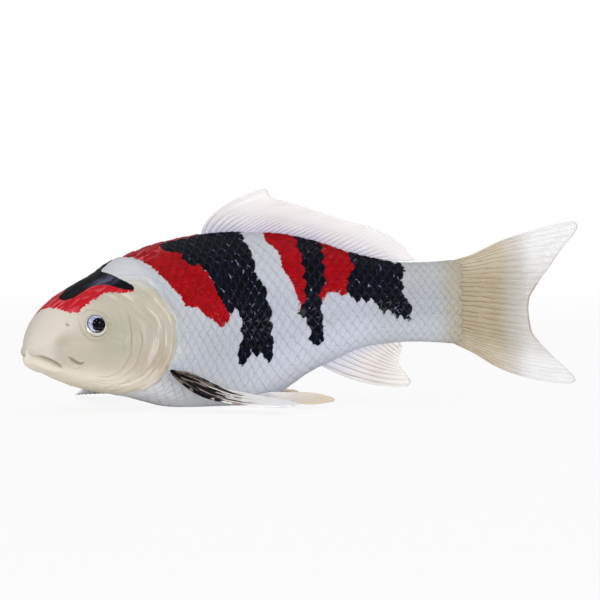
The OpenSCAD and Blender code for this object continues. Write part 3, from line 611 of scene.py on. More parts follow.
def head_relief(s, a, z):
    """Height of the carving over the smooth head in millimetres, and how much brown is painted into it:
    painted shade in the mouth, creases, folds, nostril and hollows, and brown in the pocket.
    """
    up = np.abs(a)
    # Mouth: sharp under the upper lip, then a slope that climbs to the lower lip, with brown painted shade
    # in the opening
    top, low = curve(s, UPPER_LIP), curve(s, LOWER_LIP)
    live = (1 - ease(s, 7.6, 8.8)) * (.4 + .6 * ease(s, .4, 2.6))
    t = (top - z) / np.maximum(top - low, .35)
    gape = np.where(t < 0, bump(z, top, .2), clamp(1 - t) ** .9) * live
    h = -1.15 * gape
    brown = 1.3 * gape
    h += .42 * bump(z - top, 1.25, 1.0) * live + .38 * bump(low - z, 1.2, 1.0) * live
    h -= .2 * bump(z - top, 3.4, .9) * live + .25 * bump(low - z, 3.0, .8) * live
    # Barbel lying over its crease, with brown painted shade in the crease
    d, t = beside(s, a, BARBEL)
    on = ease(t, 0, .35) * (1 - ease(t, .93, 1))
    h += on * (.36 * bump(d, -.75, .55) - .55 * bump(d, 0, .16 + .16 * t) + .12 * bump(d, .7, .4))
    brown += 1.5 * on * bump(d, .05, .2 + .16 * t)
    # Nostril with its flap, and brown painted shade in the hole
    ds, dz = s - NOSTRIL_S, z - NOSTRIL_Z
    r = np.hypot(ds, dz)
    h += .34 * bump(r, .95, .4) * (.55 + .45 * clamp((ds - dz) / 1.2, -1, 1))
    h -= .7 * bump(r, 0, .42)
    brown += .9 * bump(r, 0, .45)
    # Hollow in front of the eye, with brown painted shade in it, and brow above it
    shade = bump(s - (z - HOLLOW_Z) * .55, HOLLOW_S, 2.4) * bump(z, HOLLOW_Z, 3.6)
    h += .5 * bump(s, BROW_S, 6.0) * bump(z, BROW_Z, 2.2) - .55 * shade
    brown += .38 * shade
    # Rings round the eye, with brown painted shade in the groove in front of it
    e = np.hypot(s - EYE_S, (z - EYE_Z) * .96)
    front = ease(EYE_S + 2 - s, 0, 3) * ease(33 - z, 0, 4)
    h += .5 * bump(e, EYE_R + .5, .4) - .22 * bump(e, EYE_R + 1.35, .35)
    h += .18 * front * bump(e, EYE_R + 1.9, .35)
    brown += .5 * front * bump(e, EYE_R + 1.3, .22)
    # Folds of the cheek plates, the gill cover and the throat, each wavering a little, with brown painted
    # shade in the lee of each
    for tall, before, behind, dark, table in FOLDS:
        d, t = beside(s, a, table)
        d = d + .14 * np.sin(t * 23 + tall * 90) + .08 * np.sin(t * 61 + dark * 9)
        on = ease(t, 0, .16) * (1 - ease(t, .82, 1)) * (.8 + .2 * np.sin(t * 17 + tall * 40))
        h += tall * on * fold(d, before, behind)
        brown += dark * on * (.62 * bump(d, behind * .9, .26) + .1 * bump(d, behind, 1.0))
    # Brown pocket where the gill cover ends over the pectoral fin
    d = np.hypot(s - POCKET_S, (girth(s, up) - girth(POCKET_S, POCKET_A)) * .8)
    h -= .12 * bump(d, 0, .8)
    brown += .7 * bump(d, 0, 1.2)
    # Gill cover: swells and stands a little proud at its rear edge
    ahead = gill_line(a) - s
    h += .42 * ease(up, 52, 74) * (1 - ease(up, 118, 150)) * np.exp(-clamp(ahead, 0, 99) / 3.0)
    # Round forehead, crown and nape, and a chin that is drawn in
    for high, middle, long, wide in ((1.1, 7.5, 6, 62), (.35, 24, 12, 40), (1.0, 39, 4.5, 32)):
        h += high * bump(s, middle, long) * bump(up, 0, wide)
    h -= .9 * bump(s, 7, 6) * ease(up, 130, 172)
    # Wrinkles of the nape, faint streaks of the breast and the unevenness of the cast
    nape = ease(-ahead, -.5, 1.0) * (1 - ease(up, 70, 90))
    h += nape * .07 * np.sin(s * 2.6 + up * .13 + np.sin(up * .31))
    h += .05 * np.sin(s * .9 + np.sin(z * .5) * 2) * np.sin(z * .7 + s * .2)
    h += .035 * np.sin(z * 2.1 + s * 1.3 + np.sin(s * .8) * 2) * ease(s, 22, 30) * ease(up, 60, 80)
    return h, brown


def eye_well(points, a, side):
    """Sinks the skin round an eye into a round well, so that the eye insert sits in it."""
    at, n = skin_frame(EYE_S, EYE_A * side)[:2]
    q = points - at
    high = q @ n
    r = np.linalg.norm(q - high[..., None] * n, axis=-1)
    deep = (1 - ease(r, EYE_R - .25, EYE_R + .1)) * (a * side > 0) * (np.abs(high) < 8)
    return points - n * (deep * (high + 1.6))[..., None]


def skin_piece(name, rows, ends, finish, **fields):
    """A closed piece of skin. A field that isn't given is zero, and the rows that close its ends repeat the
    values of the first and last row."""
    nothing = fields["along"] * 0
    names = ("along", "up", "behind", "red", "black", "brown", "fine", "fan", "tone")
    kept = {key: np.pad(fields.get(key, nothing), (ends, (0, 0)), "edge") for key in names}
    closed_tube(name, rows, kept, finish, "painted_skin", "body_left", "body_right")


def head(finish):
    """The head: s goes from the snout to the seam with more rows at both ends, then the edge rolls in and
    closes inside. Skin point plus its normal times the carved relief."""
    rings, columns = 236, 360
    a = (np.arange(columns) / columns * 360 - 180)[None, :]
    f = np.linspace(0, 1, rings)[:, None]
    f = .55 * f ** 2.2 + .45 * (1 - (1 - f) ** 1.7)
    end = seam_line(a)
    s = f * end
    angle = np.broadcast_to(a, s.shape)
    base, normal, z = skin_grid(s, angle)
    nose = math.radians(HEADINGS[0])
    normal[0] = [-math.cos(nose), -math.sin(nose), 0]
    height, brown = head_relief(s, angle, z)
    points = base + normal * height[..., None]
    points[0] = points[0].mean(0)
    for side in (-1, 1):
        points = eye_well(points, a, side)
    roll = ((.1, .06), (.16, .2), (.12, .42), (-.4, .8), (-1.6, 1.25))
    edge = np.concatenate([skin(end + on, a) + normal[-1:] * (height[-1:] - down)[..., None]
                           for on, down in roll])
    hub = place(34.0, 0, 24.0)
    caps = np.stack([edge[-1] * (1 - k) + hub * k for k in (.4, .8, 1.0)])
    skin_piece("head", np.concatenate([points, edge, caps]), (0, len(edge) + len(caps)), finish, along=s,
               up=np.abs(angle), brown=brown, red=most_inside(s, angle, [HEAD_RED, RED_ONE]),
               black=inside(s, angle, HEAD_BLACK), behind=s - gill_line(angle))


# Trunk
SCALE_RISE = .62


def trunk_height(s, a):
    """Relief of the trunk in millimetres, and what the paint needs of its scales."""
    gap, du, dv, tone = scales(s, a)
    up = np.abs(a)
    behind = s - seam_line(a)
    rise = SCALE_RISE * (1 - clamp(gap / SCALE_LONG)) * (.8 + .4 * tone)
    start = ease(behind, 1.0, 6.0)
    top = ease(up, 0, 9) * .6 + .4
    rise *= (.25 + .75 * start) * top * (1 - .45 * ease(up, 120, 165))
    rise -= (.04 + .14 * ease(up, 55, 75)) * (1 - ease(behind, -3.0, .4))
    rise -= ease(up, 125, 170) * (1.4 * bump(s, 109, 9) + .7 * bump(s, 47, 9))
    return rise, gap, du, dv, tone


def trunk(finish):
    """The trunk: rings from under the gill cover to the butt of the tail, closed inside at both ends. Its
    rear edge is scalloped, and the relief is lower where the skin is white."""
    rings, columns = 282, 330
    a = (np.arange(columns) / columns * 360 - 180 + 180 / columns)[None, :]
    start = seam_line(a) - 3.0
    stop = BODY_END + 1.5 * np.abs(np.sin(np.radians(a * 9))) ** .7
    s = start + (stop - start) * np.linspace(0, 1, rings)[:, None]
    a = np.broadcast_to(a, s.shape)
    base, normal, _ = skin_grid(s, a)
    rise, gap, du, dv, tone = trunk_height(s, a)
    round_half = np.maximum(np.abs(girth(s, np.where(a > 0, 179.0, -179.0))), 1e-3)
    s_mid, a_mid = s + du, clamp(a + np.sign(a) * dv / round_half * 180, -180, 180)
    reds, blacks = [RED_ONE, RED_TWO, RED_THREE], [BLACK_ONE, BLACK_TWO, BLACK_THREE]
    red = .85 * most_inside(s, a, reds) + .15 * most_inside(s_mid, a_mid, reds)
    black = .4 * most_inside(s, a, blacks) + .6 * clamp(most_inside(s_mid, a_mid, blacks), -2.5, 2.5)
    rise = rise - .62 * clamp(rise) * (1 - ease(np.maximum(red, black), -1.5, 1.5))
    points = base + normal * rise[..., None]
    points[..., 2] = np.maximum(points[..., 2], 0)
    hub, butt = place(40.0, 0, 26.0), place(BODY_END - .5, 0, .59 * DEPTH)
    front = np.stack([hub + (points[0] - hub) * k for k in (0, .5, .9)])
    rear = np.stack([butt + (points[-1] - butt) * k for k in (.97, .6, 0)])
    skin_piece("trunk", np.concatenate([front, points, rear]), (3, 3), finish, along=s, up=np.abs(a),
               red=under(red, black), black=black, behind=s - gill_line(a), fine=gap / SCALE_LONG,
               fan=dv / (1.7 * SCALE_LONG - gap), tone=tone)


# Fins
# Thickness of the unpaired fins at the root, and of all fins at the edge
ROOT_THICK, EDGE_THICK = 1.8, .9


def sheet(n, m, start=0, power=1.0):
    """Grid of a fin: u from the front ray to the rear one, and f along a ray, 0 at the root and 1 at the
    edge. It starts below 0 where the fin begins inside the body."""
    u = np.linspace(0, 1, n)[:, None] * np.ones((1, m))
    return u, (np.linspace(start, 1, m) ** power)[None, :] * np.ones((n, 1))


def rib(x, sharp):
    """Ridges at whole numbers, 1 on them and 0 half way between."""
    return (.5 + .5 * np.cos(2 * np.pi * x)) ** sharp


def rays(u, f, count, fork=(.4, .6)):
    """Fin rays that fork on their way out: ridges of count, then twice as many."""
    forked = ease(f, *fork)
    return rib(u * count, 2.2) * (1 - forked) + rib(u * count * 2, 1.6) * forked


def rim(x, width):
    """Rounds a border: 0 at its edge and 1 from one width in, like a quarter of an ellipse."""
    t = clamp(x / width)
    return np.sqrt(1 - (1 - t) ** 2)


def thinner(f, root=ROOT_THICK):
    """Half the thickness of a blade, that of the root at f 0 and of the edge at f 1."""
    return (root + (EDGE_THICK - root) * f) / 2


def rimmed(half, u, f, edge, ends):
    """Half thickness rounded off to nothing at the free edge and at the first and last ray."""
    return half * rim(1 - f, edge) * rim(np.minimum(u, 1 - u), ends)


def bow(a, b, c, f):
    """Curve that leaves a towards b and comes to c from b: (1 - f)^2 a + 2 f (1 - f) b + f^2 c."""
    return (a * (1 - f) + b * f) * (1 - f) + (b * (1 - f) + c * f) * f


def furrows(u, f, count, fork=(.35, .6)):
    """Thin lines between the rays, and finer ones between the forks further out."""
    wide, fine = (.5 - .5 * np.cos(2 * np.pi * u * k) for k in (count, 2 * count))
    return wide ** 9 + .6 * fine ** 6 * ease(f, *fork)


def dorsal(finish, first=.35, last=.653, high=13.9, count=33):
    """The dorsal fin: rays lean back from a base along the back, from the share first of the length to last,
    and end on the edge of the fin; the blade is thick at its root, thin at its edge and ribbed by the
    rays."""
    u, f = sheet(460, 84, -.12)
    root = (first + (last - first) * u) * LENGTH
    tip = curve(u, [[0, .451], [.03, .4605], [.045, .466], [.12, .487], [.25, .52], [.5, .58], [.72, .632],
                    [.84, .668], [.93, .693], [1, .712]]) * LENGTH
    rise = np.interp(u, [0, .02, .034, .05, .12, .25, .5, .72, .84, .93, 1],
                     [1.04, 1.08, 1.05, .87, .82, .78, .75, .78, .65, .4, .06]) * high
    g = clamp(f)
    s = bow(root, root + (tip - root) * (.4 * ease(u, 0, .2)), tip, g) + .15 * np.sin(u * 90) * g * g
    z = np.where(f < 0, section(root)[0] + f * 20,
                 section(s)[0] - .15 + (rise + .22 * rib(u * 18, 1.6) * g) * g)
    y = -.16 * high * g * g * (1 - u) ** 2 + .22 * np.sin(u * 34 + 1) * g * g
    wave = u + .0012 * np.sin(g * 7 + u * 60)
    ribs = .7 + .3 * rays(wave, g, count) * (1 - .5 * ease(g, .4, .9))
    half = rimmed(thinner(ease(g, 0, .8)) * ribs, u, f, .05, .008)
    fields = {"furrow": furrows(wave, g, count), "out": g}
    closed_blade("dorsal_fin_blade", place(s, y, z), half, fields, finish, "dorsal_fin", "dorsal_fin")


def anal(finish, first=.556, last=.686, count=13):
    """The anal fin: rays sweep back from a root along the belly to a hollow rear edge, the front ray in a
    bow."""
    u, f = sheet(260, 84, -.1)
    root = (first + (last - first) * u) * LENGTH
    tip = curve(u, [[0, .7], [.06, .706], [.2, .7], [.4, .69], [.6, .686], [.8, .688], [1, .692]]) * LENGTH
    tip_z = curve(u, [[0, 5.4], [.06, 6.6], [.2, 9.2], [.4, 11.6], [.6, 13.8], [.8, 16.4], [1, 19.2]])
    g, inner = clamp(f), f.clip(max=0)
    low = section(root)[1] + .6
    s = root + (tip - root) * g + inner * 4
    z = low + (tip_z - low) * g - (1 - u) ** 2 * 2.2 * 4 * g * (1 - g) - inner * 22
    y = .35 * np.sin(u * 12) * g
    wave = u + .005 * np.sin(g * 8 + u * 21) + .002 * np.sin(g * 23 + u * 50)
    half = rimmed(thinner(ease(g, 0, .5)) * (.66 + .34 * rays(wave, g, count)), u, f, .04, .025)
    fields = {"furrow": furrows(wave, g, count), "out": g}
    closed_blade("anal_fin_blade", place(s, y, z), half, fields, finish, "anal_fin", "anal_fin")


# Free edge of the tail fin: share of the way from the top ray to the bottom one, share of the body's length,
# and height over the fin's middle as a share of its span
TAIL_EDGE = [[0, .992, .494], [.03, .9995, .466], [.07, .994, .424], [.14, .976, .344], [.22, .95, .225],
             [.31, .928, .112], [.38, .915, .045], [.45, .9115, -.02], [.52, .9125, -.1],
             [.58, .9165, -.17], [.66, .932, -.25], [.77, .956, -.333], [.87, .978, -.405],
             [.94, .995, -.463], [.975, .996, -.488], [1, .986, -.502]]
TAIL_SPAN, TAIL_MIDDLE = 56.6, .586 * DEPTH


def tail(finish, count=30):
    """The tail fin: rays fan out from the butt of the body to a forked edge, and waver on their way."""
    n, m = 440, 108
    u, f = sheet(n, m, power=1.1)
    y0, z0 = (k[:, None] for k in flank(np.full(n, BODY_END), np.linspace(0, 180, n)))
    edge = curve(u[:, 0], TAIL_EDGE)
    z1 = TAIL_MIDDLE + edge[:, 1:] * TAIL_SPAN
    start = BODY_END - 1.5
    s = start + (edge[:, :1] * LENGTH - start) * f
    lean = curve(u, [[0, .72], [.5, .5], [1, .95]])
    z = bow(z0, z0 + (z1 - z0) * lean, z1, f) + 1.05 * bump(f, .17, .15) * (2 * u - 1) * np.abs(2 * u - 1)
    y = .3 * np.sin(u * 40 + f * 2) * f * f + .1 * np.sin(f * 30 + u * 55) * f
    wave = u + .0022 * np.sin(f * 8 + u * 90) * ease(f, 0, .2) + .001 * np.sin(f * 21 + u * 240)
    lines = rays(wave, f, count, (.35, .55))
    thick = np.maximum(y0 - .1, .4)
    thin = thinner(f) * (.72 + .28 * lines * (1 - .6 * ease(f, .45, .8)))
    half = thick + (thin - thick) * clamp((f - .035) / .3) ** .85
    half = half - .12 * (1 - lines) * ease(f, .03, .12) * (1 - ease(f, .2, .4))
    half = rimmed(half, u, f, .03, .012)
    mid = 1 - ease(np.abs(u - .48), .16, .4)
    fields = {"furrow": furrows(wave, f, count), "out": f, "along": s, "mid": mid}
    closed_blade("tail_fin_blade", place(s, y, z), half, fields, finish, "tail_fin", "tail_fin")


# Pectoral and pelvic fins. Place of the root on the skin, number of rays, length, thickness at the root, the
# reach of each ray, and the height along the front and the rear ray by the share of the reach, all but the
# first in shares of the fin's length
PECTORAL = dict(
    s=.242 * LENGTH, lead=.016 * LENGTH, angle=116.0, count=11, length=43.0, thick=2.6,
    tips=[[0, .93], [.08, .985], [.2, 1], [.4, .95], [.6, .86], [.8, .73], [1, .58]],
    front=[[0, .31], [.05, .26], [.15, .195], [.25, .15], [.4, .108], [.6, .078], [.8, .068], [1, .068]],
    rear=[[0, .31], [.1, .288], [.2, .252], [.3, .212], [.45, .152], [.6, .12], [.8, .1], [1, .09]])
PELVIC = dict(
    s=.43 * LENGTH, lead=0, angle=140.0, count=8, length=25.8, thick=2.0,
    tips=[[0, .78], [.15, .9], [.4, 1], [.6, .97], [.8, .89], [1, .75]],
    front=[[0, .155], [.3, .095], [.6, .065], [1, .07]],
    rear=[[0, .15], [.3, .17], [.6, .17], [1, .135]])


def paired(kind, name, side, flare, sink, finish, s, lead, angle, count, length, thick, tips, front, rear):
    """A pectoral or pelvic fin: rays fan out from a fleshy root that hugs the skin, u from the front ray to
    the rear one, and turn from the first heading of the flare to the second. The edge lies lower by sink."""
    u, f = sheet(200, 120)
    out = skin_frame(s, angle * side)[1]
    base = skin(s - lead, angle * side)
    off = thick - (thick - .5) * (1 - ease(f, 0, .2))
    spread = (flare[0] - flare[1]) * (.5 - u) * (1.6 - .6 * f)
    a = np.radians(float(heading(s)) + side * ((flare[0] + flare[1]) / 2 + spread))
    reach = length * (curve(u, tips) - .012 * (1 - rib(u * count, 1.6))) * f
    k = reach / length
    z = length * (curve(k, front) * (1 - u) + curve(k, rear) * u) - sink * f
    x, y = (base[i] + out[i] * off + reach * way for i, way in enumerate((np.cos(a), np.sin(a))))
    middle = np.stack([x, y, z], -1)
    wave = u + .004 * np.sin(f * 12 + u * 30)
    ribs = (.62 + .38 * rays(wave, f, count, (.35, .55))) * (.45 + .55 * ease(f, 0, .2))
    half = rimmed(thinner(ease(f, 0, .7), thick) * ribs, u, f, .04, .03) * rim(f, .03)
    fields = {"furrow": furrows(wave, f, count), "out": f, "across": u}
    if side == 1:
        middle, half = middle[::-1], half[::-1]
        fields = {key: v[::-1] for key, v in fields.items()}
    closed_blade(kind + "_blade_" + name, middle, half, fields, finish, kind + "s", kind + "_" + name)


# Eyes
# How far the pupil lies from the eye's axis towards the tail
PUPIL_ASIDE = .75


def turned(name, side, profile, aside, finish, slot, node):
    """A form turned round the eye's axis, moved aside towards the tail: profile rows are radius and height
    over the skin. It keeps the distance of each point from the axis of the eye and from the middle of the
    pupil."""
    at, n, along, upward = skin_frame(EYE_S, EYE_A * side)
    p = np.asarray(profile, float)
    t = np.linspace(0, 2 * np.pi, 96, endpoint=False)
    ring = np.cos(t)[:, None] * along + np.sin(t)[:, None] * upward
    if np.cross(along, upward) @ n < 0:
        ring = ring[::-1]
    rows = at + along * aside + p[:, None, :1] * ring[None] + p[:, None, 1:2] * n
    x, y = (rows - at) @ along, (rows - at) @ upward
    fields = {"wide": np.hypot(x, y - .35), "near": np.hypot(x - PUPIL_ASIDE, (y + .45) / 1.12),
              "turn": np.arctan2(y, x)}
    closed_tube(name, rows, fields, finish, slot, node)


def eye(side, name, silver, black):
    """An eye: a flat silver dome with a groove and a ring in it, and a steeper black dome set into it."""
    r = np.concatenate([[0], np.linspace(.05, 3.42, 44), [3.52, 3.58]])
    dome = .72 * (1 - (r / EYE_R) ** 2) - .12 * bump(r, 2.55, .22) + .1 * bump(r, 3.0, .25)
    profile = [*zip(r, dome), (EYE_R, -.25), (EYE_R, -.8), (3.4, -2.2), (0, -2.2)]
    turned("eye_" + name, side, profile[::-1], 0, silver, "eye_silver", "eye_" + name)
    r = np.concatenate([[0], np.linspace(.05, 2.0, 30), [2.1, 2.15]])
    dome = .46 + .64 * np.sqrt(1 - (r / 2.17) ** 2)
    profile = [*zip(r, dome), (2.15, -.6), (0, -.6)]
    turned("pupil_" + name, side, profile[::-1], PUPIL_ASIDE, black, "pupil_black", "pupil_" + name)


# Materials
def skin_finish():
    """Painted skin: base tone by place with painted shade and painted highlights, red and black patches with
    worn, jagged brush edges, clear gloss.
    """
    k = Finish("painted_skin", Coat_Weight=.1, Coat_Roughness=.05, IOR=1.45, Specular_IOR_Level=0)
    along, up, depth, fan, tone = (k.field(name) for name in ("along", "up", "fine", "fan", "tone"))
    behind = k.field("behind") + up.below(24, 42) * 6.0
    large, fine = k.noise(90), k.noise(900, 3, .65)
    # The head: cheek darkened as painted shade, muzzle, crown, gill cover and throat
    beige = k.layers(
        k.blend(large.step(.35, .7), (192, 186, 171), (197, 189, 171)),
        # Painted shade: the cheek darker
        (along.step(12, 22) * along.below(26, 36) * up.step(56, 74) * up.below(92, 112), (183, 180, 160)),
        (along.below(8, 22) * up.below(54, 80) + along.below(3, 7) * .8, (218, 210, 199)),
        (along.step(26, 38) * up.below(36, 58), (212, 208, 194)),
        (along.step(26, 40) * up.step(84, 108), (196, 181, 163)),
        (up.step(108, 146), (243, 234, 217)))
    # The body: nape and flank, a lower flank and breast painted lighter as painted light from below, then a
    # greyer patch low on the middle of the flank, the greyer tail stem, and painted shade in the crevices
    # behind the rims of the scales
    white = k.layers(
        k.blend(large.step(.3, .7), (198, 201, 208), (193, 197, 205)),
        (along.below(38, 47) * up.below(22, 42), (210, 212, 218)),
        (up.step(40, 80) * along.step(50, 80), (190, 194, 206)),
        # Painted light: the lower flank and the breast lighter than the flank
        (up.step(86, 122), (209, 213, 225)),
        (up.step(112, 150) * along.below(50, 110), (249, 250, 253)))
    dull = along.below(78, 92) * along.step(56, 66) * up.step(70, 95) * .5
    white = k.blend(along.step(122, 138).most(dull), white, (241, 241, 235), "MULTIPLY")
    # Painted shade in the crevice just behind the rim of each scale, stronger on one side of it
    white = k.blend(depth.step(.7, .97) * (fan.step(-.05, .05) * .34 + .04), white, (146, 150, 168))
    # Painted shade and painted highlight of wrinkles and a yellow line by the gill cover's edge, the brown
    # laid into the carving of the head (painted shade in its creases, folds and hollows, and brown in its
    # pocket), and tan where the tail begins
    border = ((behind + (fine - .5) * 1.6) * (1 - up.below(40, 66) * .75)).step(-1.6, 1.0)
    folds = k.strokes(behind * .55, up * .035, 3.0, 2, .5)
    nearby = behind.step(-16, -10) * behind.below(1, 5) * .4
    yellow = k.noise(420, 2).step(.42, .54) * behind.step(-2.8, -1.2) * behind.below(.2, 1.4)
    gold = (along + (large - .5) * 5.0 + (fine - .5) * 4.0).step(150.5, 160)
    base = k.layers(
        k.blend(border, beige, white),
        # Painted shade in the wrinkle lines and painted highlight on their crests
        (folds.step(.5, .62) * nearby, (176, 170, 148)),
        (folds.below(.36, .46) * nearby, (240, 238, 232)),
        (yellow * up.step(44, 52) * up.below(76, 84) * .25, (176, 160, 112)),
        # Brown painted shade in the creases, folds and hollows of the head
        (k.field("brown").step(0, 1.3) * .66, (132, 116, 90)),
        (gold * .85, (180, 170, 148)))
    # Red paint, with painted shade in the crevices of the scales, painted highlights in streaks, and pink
    # painted highlights brushed on the head and the ridge behind it
    on_head = along.below(34, 38)
    # Where the pink painted highlight lies: the head and the ridge behind it
    pink_highlight = on_head * .5 + along.below(54, 78) * up.below(14, 28) * .7
    brushed = k.strokes(along * .2, up * .22, 5.0)
    streak = k.strokes(fan * 20.0, depth, tone * 31.0, 2, .5)
    red = k.layers(
        k.blend(k.noise(260).step(.35, .7), (152, 1, 12), (172, 5, 20)),
        # Painted shade in the crevices of the scales
        (depth.step(.75, .97) * .4, (112, 2, 12)),
        # Painted highlight in streaks on the red
        (streak.step(.54, .66) * up.step(20, 90) * .4, (216, 62, 72)),
        (on_head, (190, 20, 34)),
        (pink_highlight * brushed.step(.46, .66), (226, 98, 110)))
    # Black paint, lighter blue-black along the rims of the scales, with painted glints on some rims and a
    # painted highlight on the black of the head
    rims = depth.below(.12, .2) * depth.step(0, .02)
    # Painted glints: pale highlight strokes on some of the rims
    glint = rims * k.noise(420, 2, .5).step(.58, .63) * (up.step(30, 75) * .55 + .4)
    # Painted highlight on the black patch of the head
    painted_sheen = along.apart(27.5).below(1, 8) * up.apart(21).below(2, 11)
    black = k.layers(
        k.blend(k.noise(200, 2).step(.3, .7), (3, 5, 11), (8, 11, 23)),
        (rims * .5, (36, 42, 60)),
        (glint * (fan * 9.0 + tone * 6.0 - 2.5).step(-.2, .2), (138, 148, 176)),
        (painted_sheen * brushed.step(.3, .6) * .9, (92, 92, 120)))
    jag = (fine - .5) * 1.7 + (k.noise(2600, 2) - .5) * .8
    base = k.layers(base, ((k.field("red") + jag * 1.3).step(-.12, .12), red),
                    ((k.field("black") + jag * .35).step(-.1, .1), black))
    return k.feed(Base_Color=base, Roughness=.56 + fine * .12,
                  Normal=k.relief(fine * .3 + streak, .0003, .7))


FIN_GLOSS = {"Coat_Weight": .4, "Coat_Roughness": .1, "IOR": 1.45, "Specular_IOR_Level": .15}


def fin_finish(name, root, middle, edge, furrow, fade, rim_colour, rim_share):
    """Milky fins: three tones from root to edge, tinted furrows that fade outwards and a thin rim."""
    k = Finish(name, **FIN_GLOSS)
    out = k.field("out")
    cloudy = out + (k.noise(160) - .5) * .3
    return k.satin(k.layers(
        k.blend(cloudy.step(0, .45), root, middle),
        (cloudy.step(.4, .95), edge),
        (k.field("furrow") * out.below(*fade) * .75, furrow),
        (out.step(.96, .995) * rim_share, rim_colour)))


def tail_finish():
    """Tail fin: tan by the body, grey lilac, then white lobes, brown furrows and a brown rim in the fork."""
    k = Finish("tail_fin", **FIN_GLOSS)
    along = k.field("along") + (k.noise(120) - .5) * 4.0
    out, mid = k.field("out"), k.field("mid")
    lines = k.field("furrow") * (.2 + .8 * along.below(166, 186)) * (k.noise(260, 2) * 1.2 + .45)
    return k.satin(k.layers(
        (180, 171, 149),
        (along.step(159, 165), k.blend(mid, (205, 193, 171), (180, 167, 140))),
        (along.step(173, 182), k.blend(mid, (214, 209, 205), (190, 186, 180))),
        (along.step(180, 188) * (1 - mid * .6), (239, 239, 240)),
        (lines * .8, (128, 104, 66)),
        ((out * mid).step(.962, .99) * .7, (170, 136, 108)),
        (out.step(.975, .995) * .2, (200, 172, 162))))


def pectoral_finish(name, start, stop, drop):
    """Pectoral fins: black strokes run along the rays from the root, thin to brown lines and leave a white
    tip."""
    k = Finish(name, Coat_Weight=.12, Coat_Roughness=.1, IOR=1.45, Specular_IOR_Level=.05)
    out, across = k.field("out"), k.field("across")
    broad, narrow = (k.strokes(across * many, out * 2.6, z) for many, z in ((17.0, 0), (44.0, 4.0)))
    dark = (broad - out * .13 - out.step(start, stop) * drop).step(.415, .435)
    thin = (narrow - out * .22).step(.37, .4) * out.below(start + .23, start + .35)
    return k.satin(k.layers(
        k.blend(out.step(0, .9), (228, 224, 215), (252, 252, 255)),
        (k.field("furrow") * .3, (186, 174, 160)),
        (thin * .8, (100, 68, 56)),
        (dark, (7, 6, 8))))


def eye_finish():
    """Silver and violet iris: fine spokes, a dark thin ring by the lid, worn black round the pupil."""
    k = Finish("eye_silver", Roughness=.22, Coat_Weight=.9, Coat_Roughness=.03, Metallic=.15, IOR=1.5)
    wide = k.field("wide")
    spokes = k.strokes(k.field("turn") * 6.0, wide * 1.2, 0, 4)
    worn = 2.4 - k.field("near") + (k.noise(1500, 2) - .5) * 1.3
    return k.feed(Base_Color=k.layers(
        k.blend(spokes.step(.35, .65), (112, 118, 164), (206, 210, 230)),
        ((wide + (spokes - .5) * .4).step(2.6, 2.8), (40, 42, 78)),
        (worn.step(-.05, .05), (8, 8, 12)),
        (wide.step(3.0, 3.2), (206, 202, 192))))


def pupil_finish():
    """Black bead with a few pale specks, painted reflections."""
    k = Finish("pupil_black", Roughness=.5, Coat_Weight=.1, Coat_Roughness=.03, IOR=1.45,
               Specular_IOR_Level=0)
    # Pale specks: painted reflections on the black bead
    return k.feed(Base_Color=k.blend(k.noise(2000, 2).step(.62, .68) * .6, (3, 3, 6), (130, 132, 160)))


# Floor, light and camera
WHITE = (1, 1, 1, 1)
# Lamps: name, place and aim in metres, width, height and power
LAMPS = [("top", (.03, .1, 1.1), (.03, 0, 0), 1.6, 1.6, 5.5),
         ("low", (-.2, -1.0, .06), (.03, 0, .03), 2.0, .1, 7.0),
         ("side", (-1.2, -.2, .3), (-.05, 0, .03), .8, .5, 1.8),
         ("strip", (1.0, -.5, .16), (-.04, 0, .03), .015, .3, .5),
         ("spark_high", (.3, -.1, .95), (.03, 0, .05), .3, .012, .35),
         ("spark_mid", (.4, -.75, .6), (.03, 0, .05), .3, .012, .35),
         ("spark_low", (.65, -.95, .15), (0, 0, .03), .012, .25, .3)]


def shown(name, data):
    """An object in the scene, from a mesh, lamp or camera."""
    made = bpy.data.objects.new(name, data)
    bpy.context.scene.collection.objects.link(made)
    return made


def aimed(name, data, at, way):
    """A lamp or camera at a place, looking along a direction."""
    made = shown(name, data)
    made.location = at
    made.rotation_euler = Vector(way).to_track_quat("-Z", "Y").to_euler()
    return made


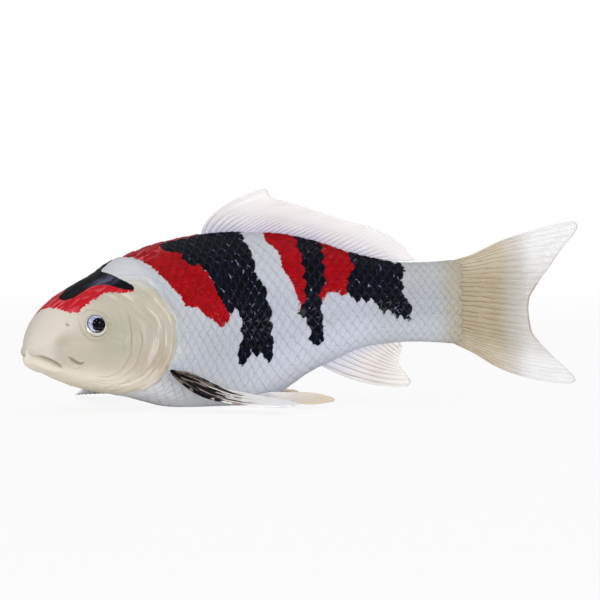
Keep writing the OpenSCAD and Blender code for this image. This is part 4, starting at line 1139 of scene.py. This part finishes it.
def stage():
    """A pale floor that turns white further off, a white surround where the camera sees it, and soft
    lamps."""
    world = bpy.data.worlds.new("studio")
    bpy.context.scene.world = world
    world.use_nodes = True
    sky = Graph(world.node_tree)
    dim = sky.tree.nodes["Background"]
    dim.inputs[0].default_value, dim.inputs[1].default_value = WHITE, .3
    seen = sky.ray("Camera").most(sky.ray("Transmission")).most(sky.ray("Glossy"))
    sky.end(seen, "Background", sky.node("ShaderNodeBackground", {}, {0: WHITE, 1: 1.0}), "World Output")

    mesh = bpy.data.meshes.new("floor")
    mesh.from_pydata([(-6, -6, 0), (6, -6, 0), (6, 6, 0), (-6, 6, 0)], [], [(0, 1, 2, 3)])
    floor = shown("floor", mesh)
    k = Finish("floor_white", Base_Color=(.93, .93, .935, 1), Roughness=.9)
    away = k.node("ShaderNodeVectorMath", {"operation": "LENGTH"}, {0: k.spot()}, 1).step(.3, 1.4)
    seen = k.ray("Camera") * (away * .12 + .88) + k.ray("Glossy") * .25
    k.end(seen, "Principled BSDF", k.node("ShaderNodeEmission", {}, {0: WHITE}), "Material Output")
    mesh.materials.append(k.material)

    for name, at, aim, wide, high, power in LAMPS:
        lamp = bpy.data.lights.new(name, "AREA")
        lamp.shape, lamp.size, lamp.size_y, lamp.energy = "RECTANGLE", wide, high, power
        aimed(name, lamp, at, np.array(aim) - np.array(at))


def camera():
    """The photograph's view: 22 degrees round towards the head, 2 degrees above the floor, a metre away."""
    data = bpy.data.cameras.new("view")
    data.sensor_width = 36
    data.lens = 178.09
    data.clip_start, data.clip_end = .05, 20
    aim = np.array([31.949, -12.787, 35.493]) / 1000
    a, e = math.radians(-22), math.radians(2)
    back = np.array([math.sin(a) * math.cos(e), -math.cos(a) * math.cos(e), math.sin(e)])
    bpy.context.scene.camera = aimed("view", data, aim + back, -back)


camera()
stage()
skin_paint = skin_finish()
head(skin_paint)
trunk(skin_paint)
dorsal(fin_finish("dorsal_fin", (212, 209, 225), (232, 228, 230), (242, 238, 238), (116, 106, 134), (.2, .7),
                  (236, 226, 226), .3))
anal(fin_finish("anal_fin", (222, 224, 234), (240, 234, 231), (249, 246, 242), (160, 140, 136), (.5, 1.2),
                (236, 218, 208), .3))
tail(tail_finish())
near_ink = pectoral_finish("pectoral_fin", .42, .82, .32)
far_ink = pectoral_finish("pectoral_fin_far", .08, .38, .5)
pelvic = fin_finish("pelvic_fin", (240, 238, 240), (240, 234, 230), (238, 224, 200), (196, 186, 170),
                    (.5, 1.2), (206, 184, 150), .4)
silver, bead = eye_finish(), pupil_finish()
for side, name, flare, sink, ink in ((-1, "left", (66, 18), 0, near_ink),
                                     (1, "right", (69, 21), 1.9, far_ink)):
    paired("pectoral_fin", name, side, flare, sink, ink, **PECTORAL)
    paired("pelvic_fin", name, side, (42, 4), sink * .4, pelvic, **PELVIC)
    eye(side, name, silver, bead)

bpy.context.scene.view_settings.view_transform = "Standard"
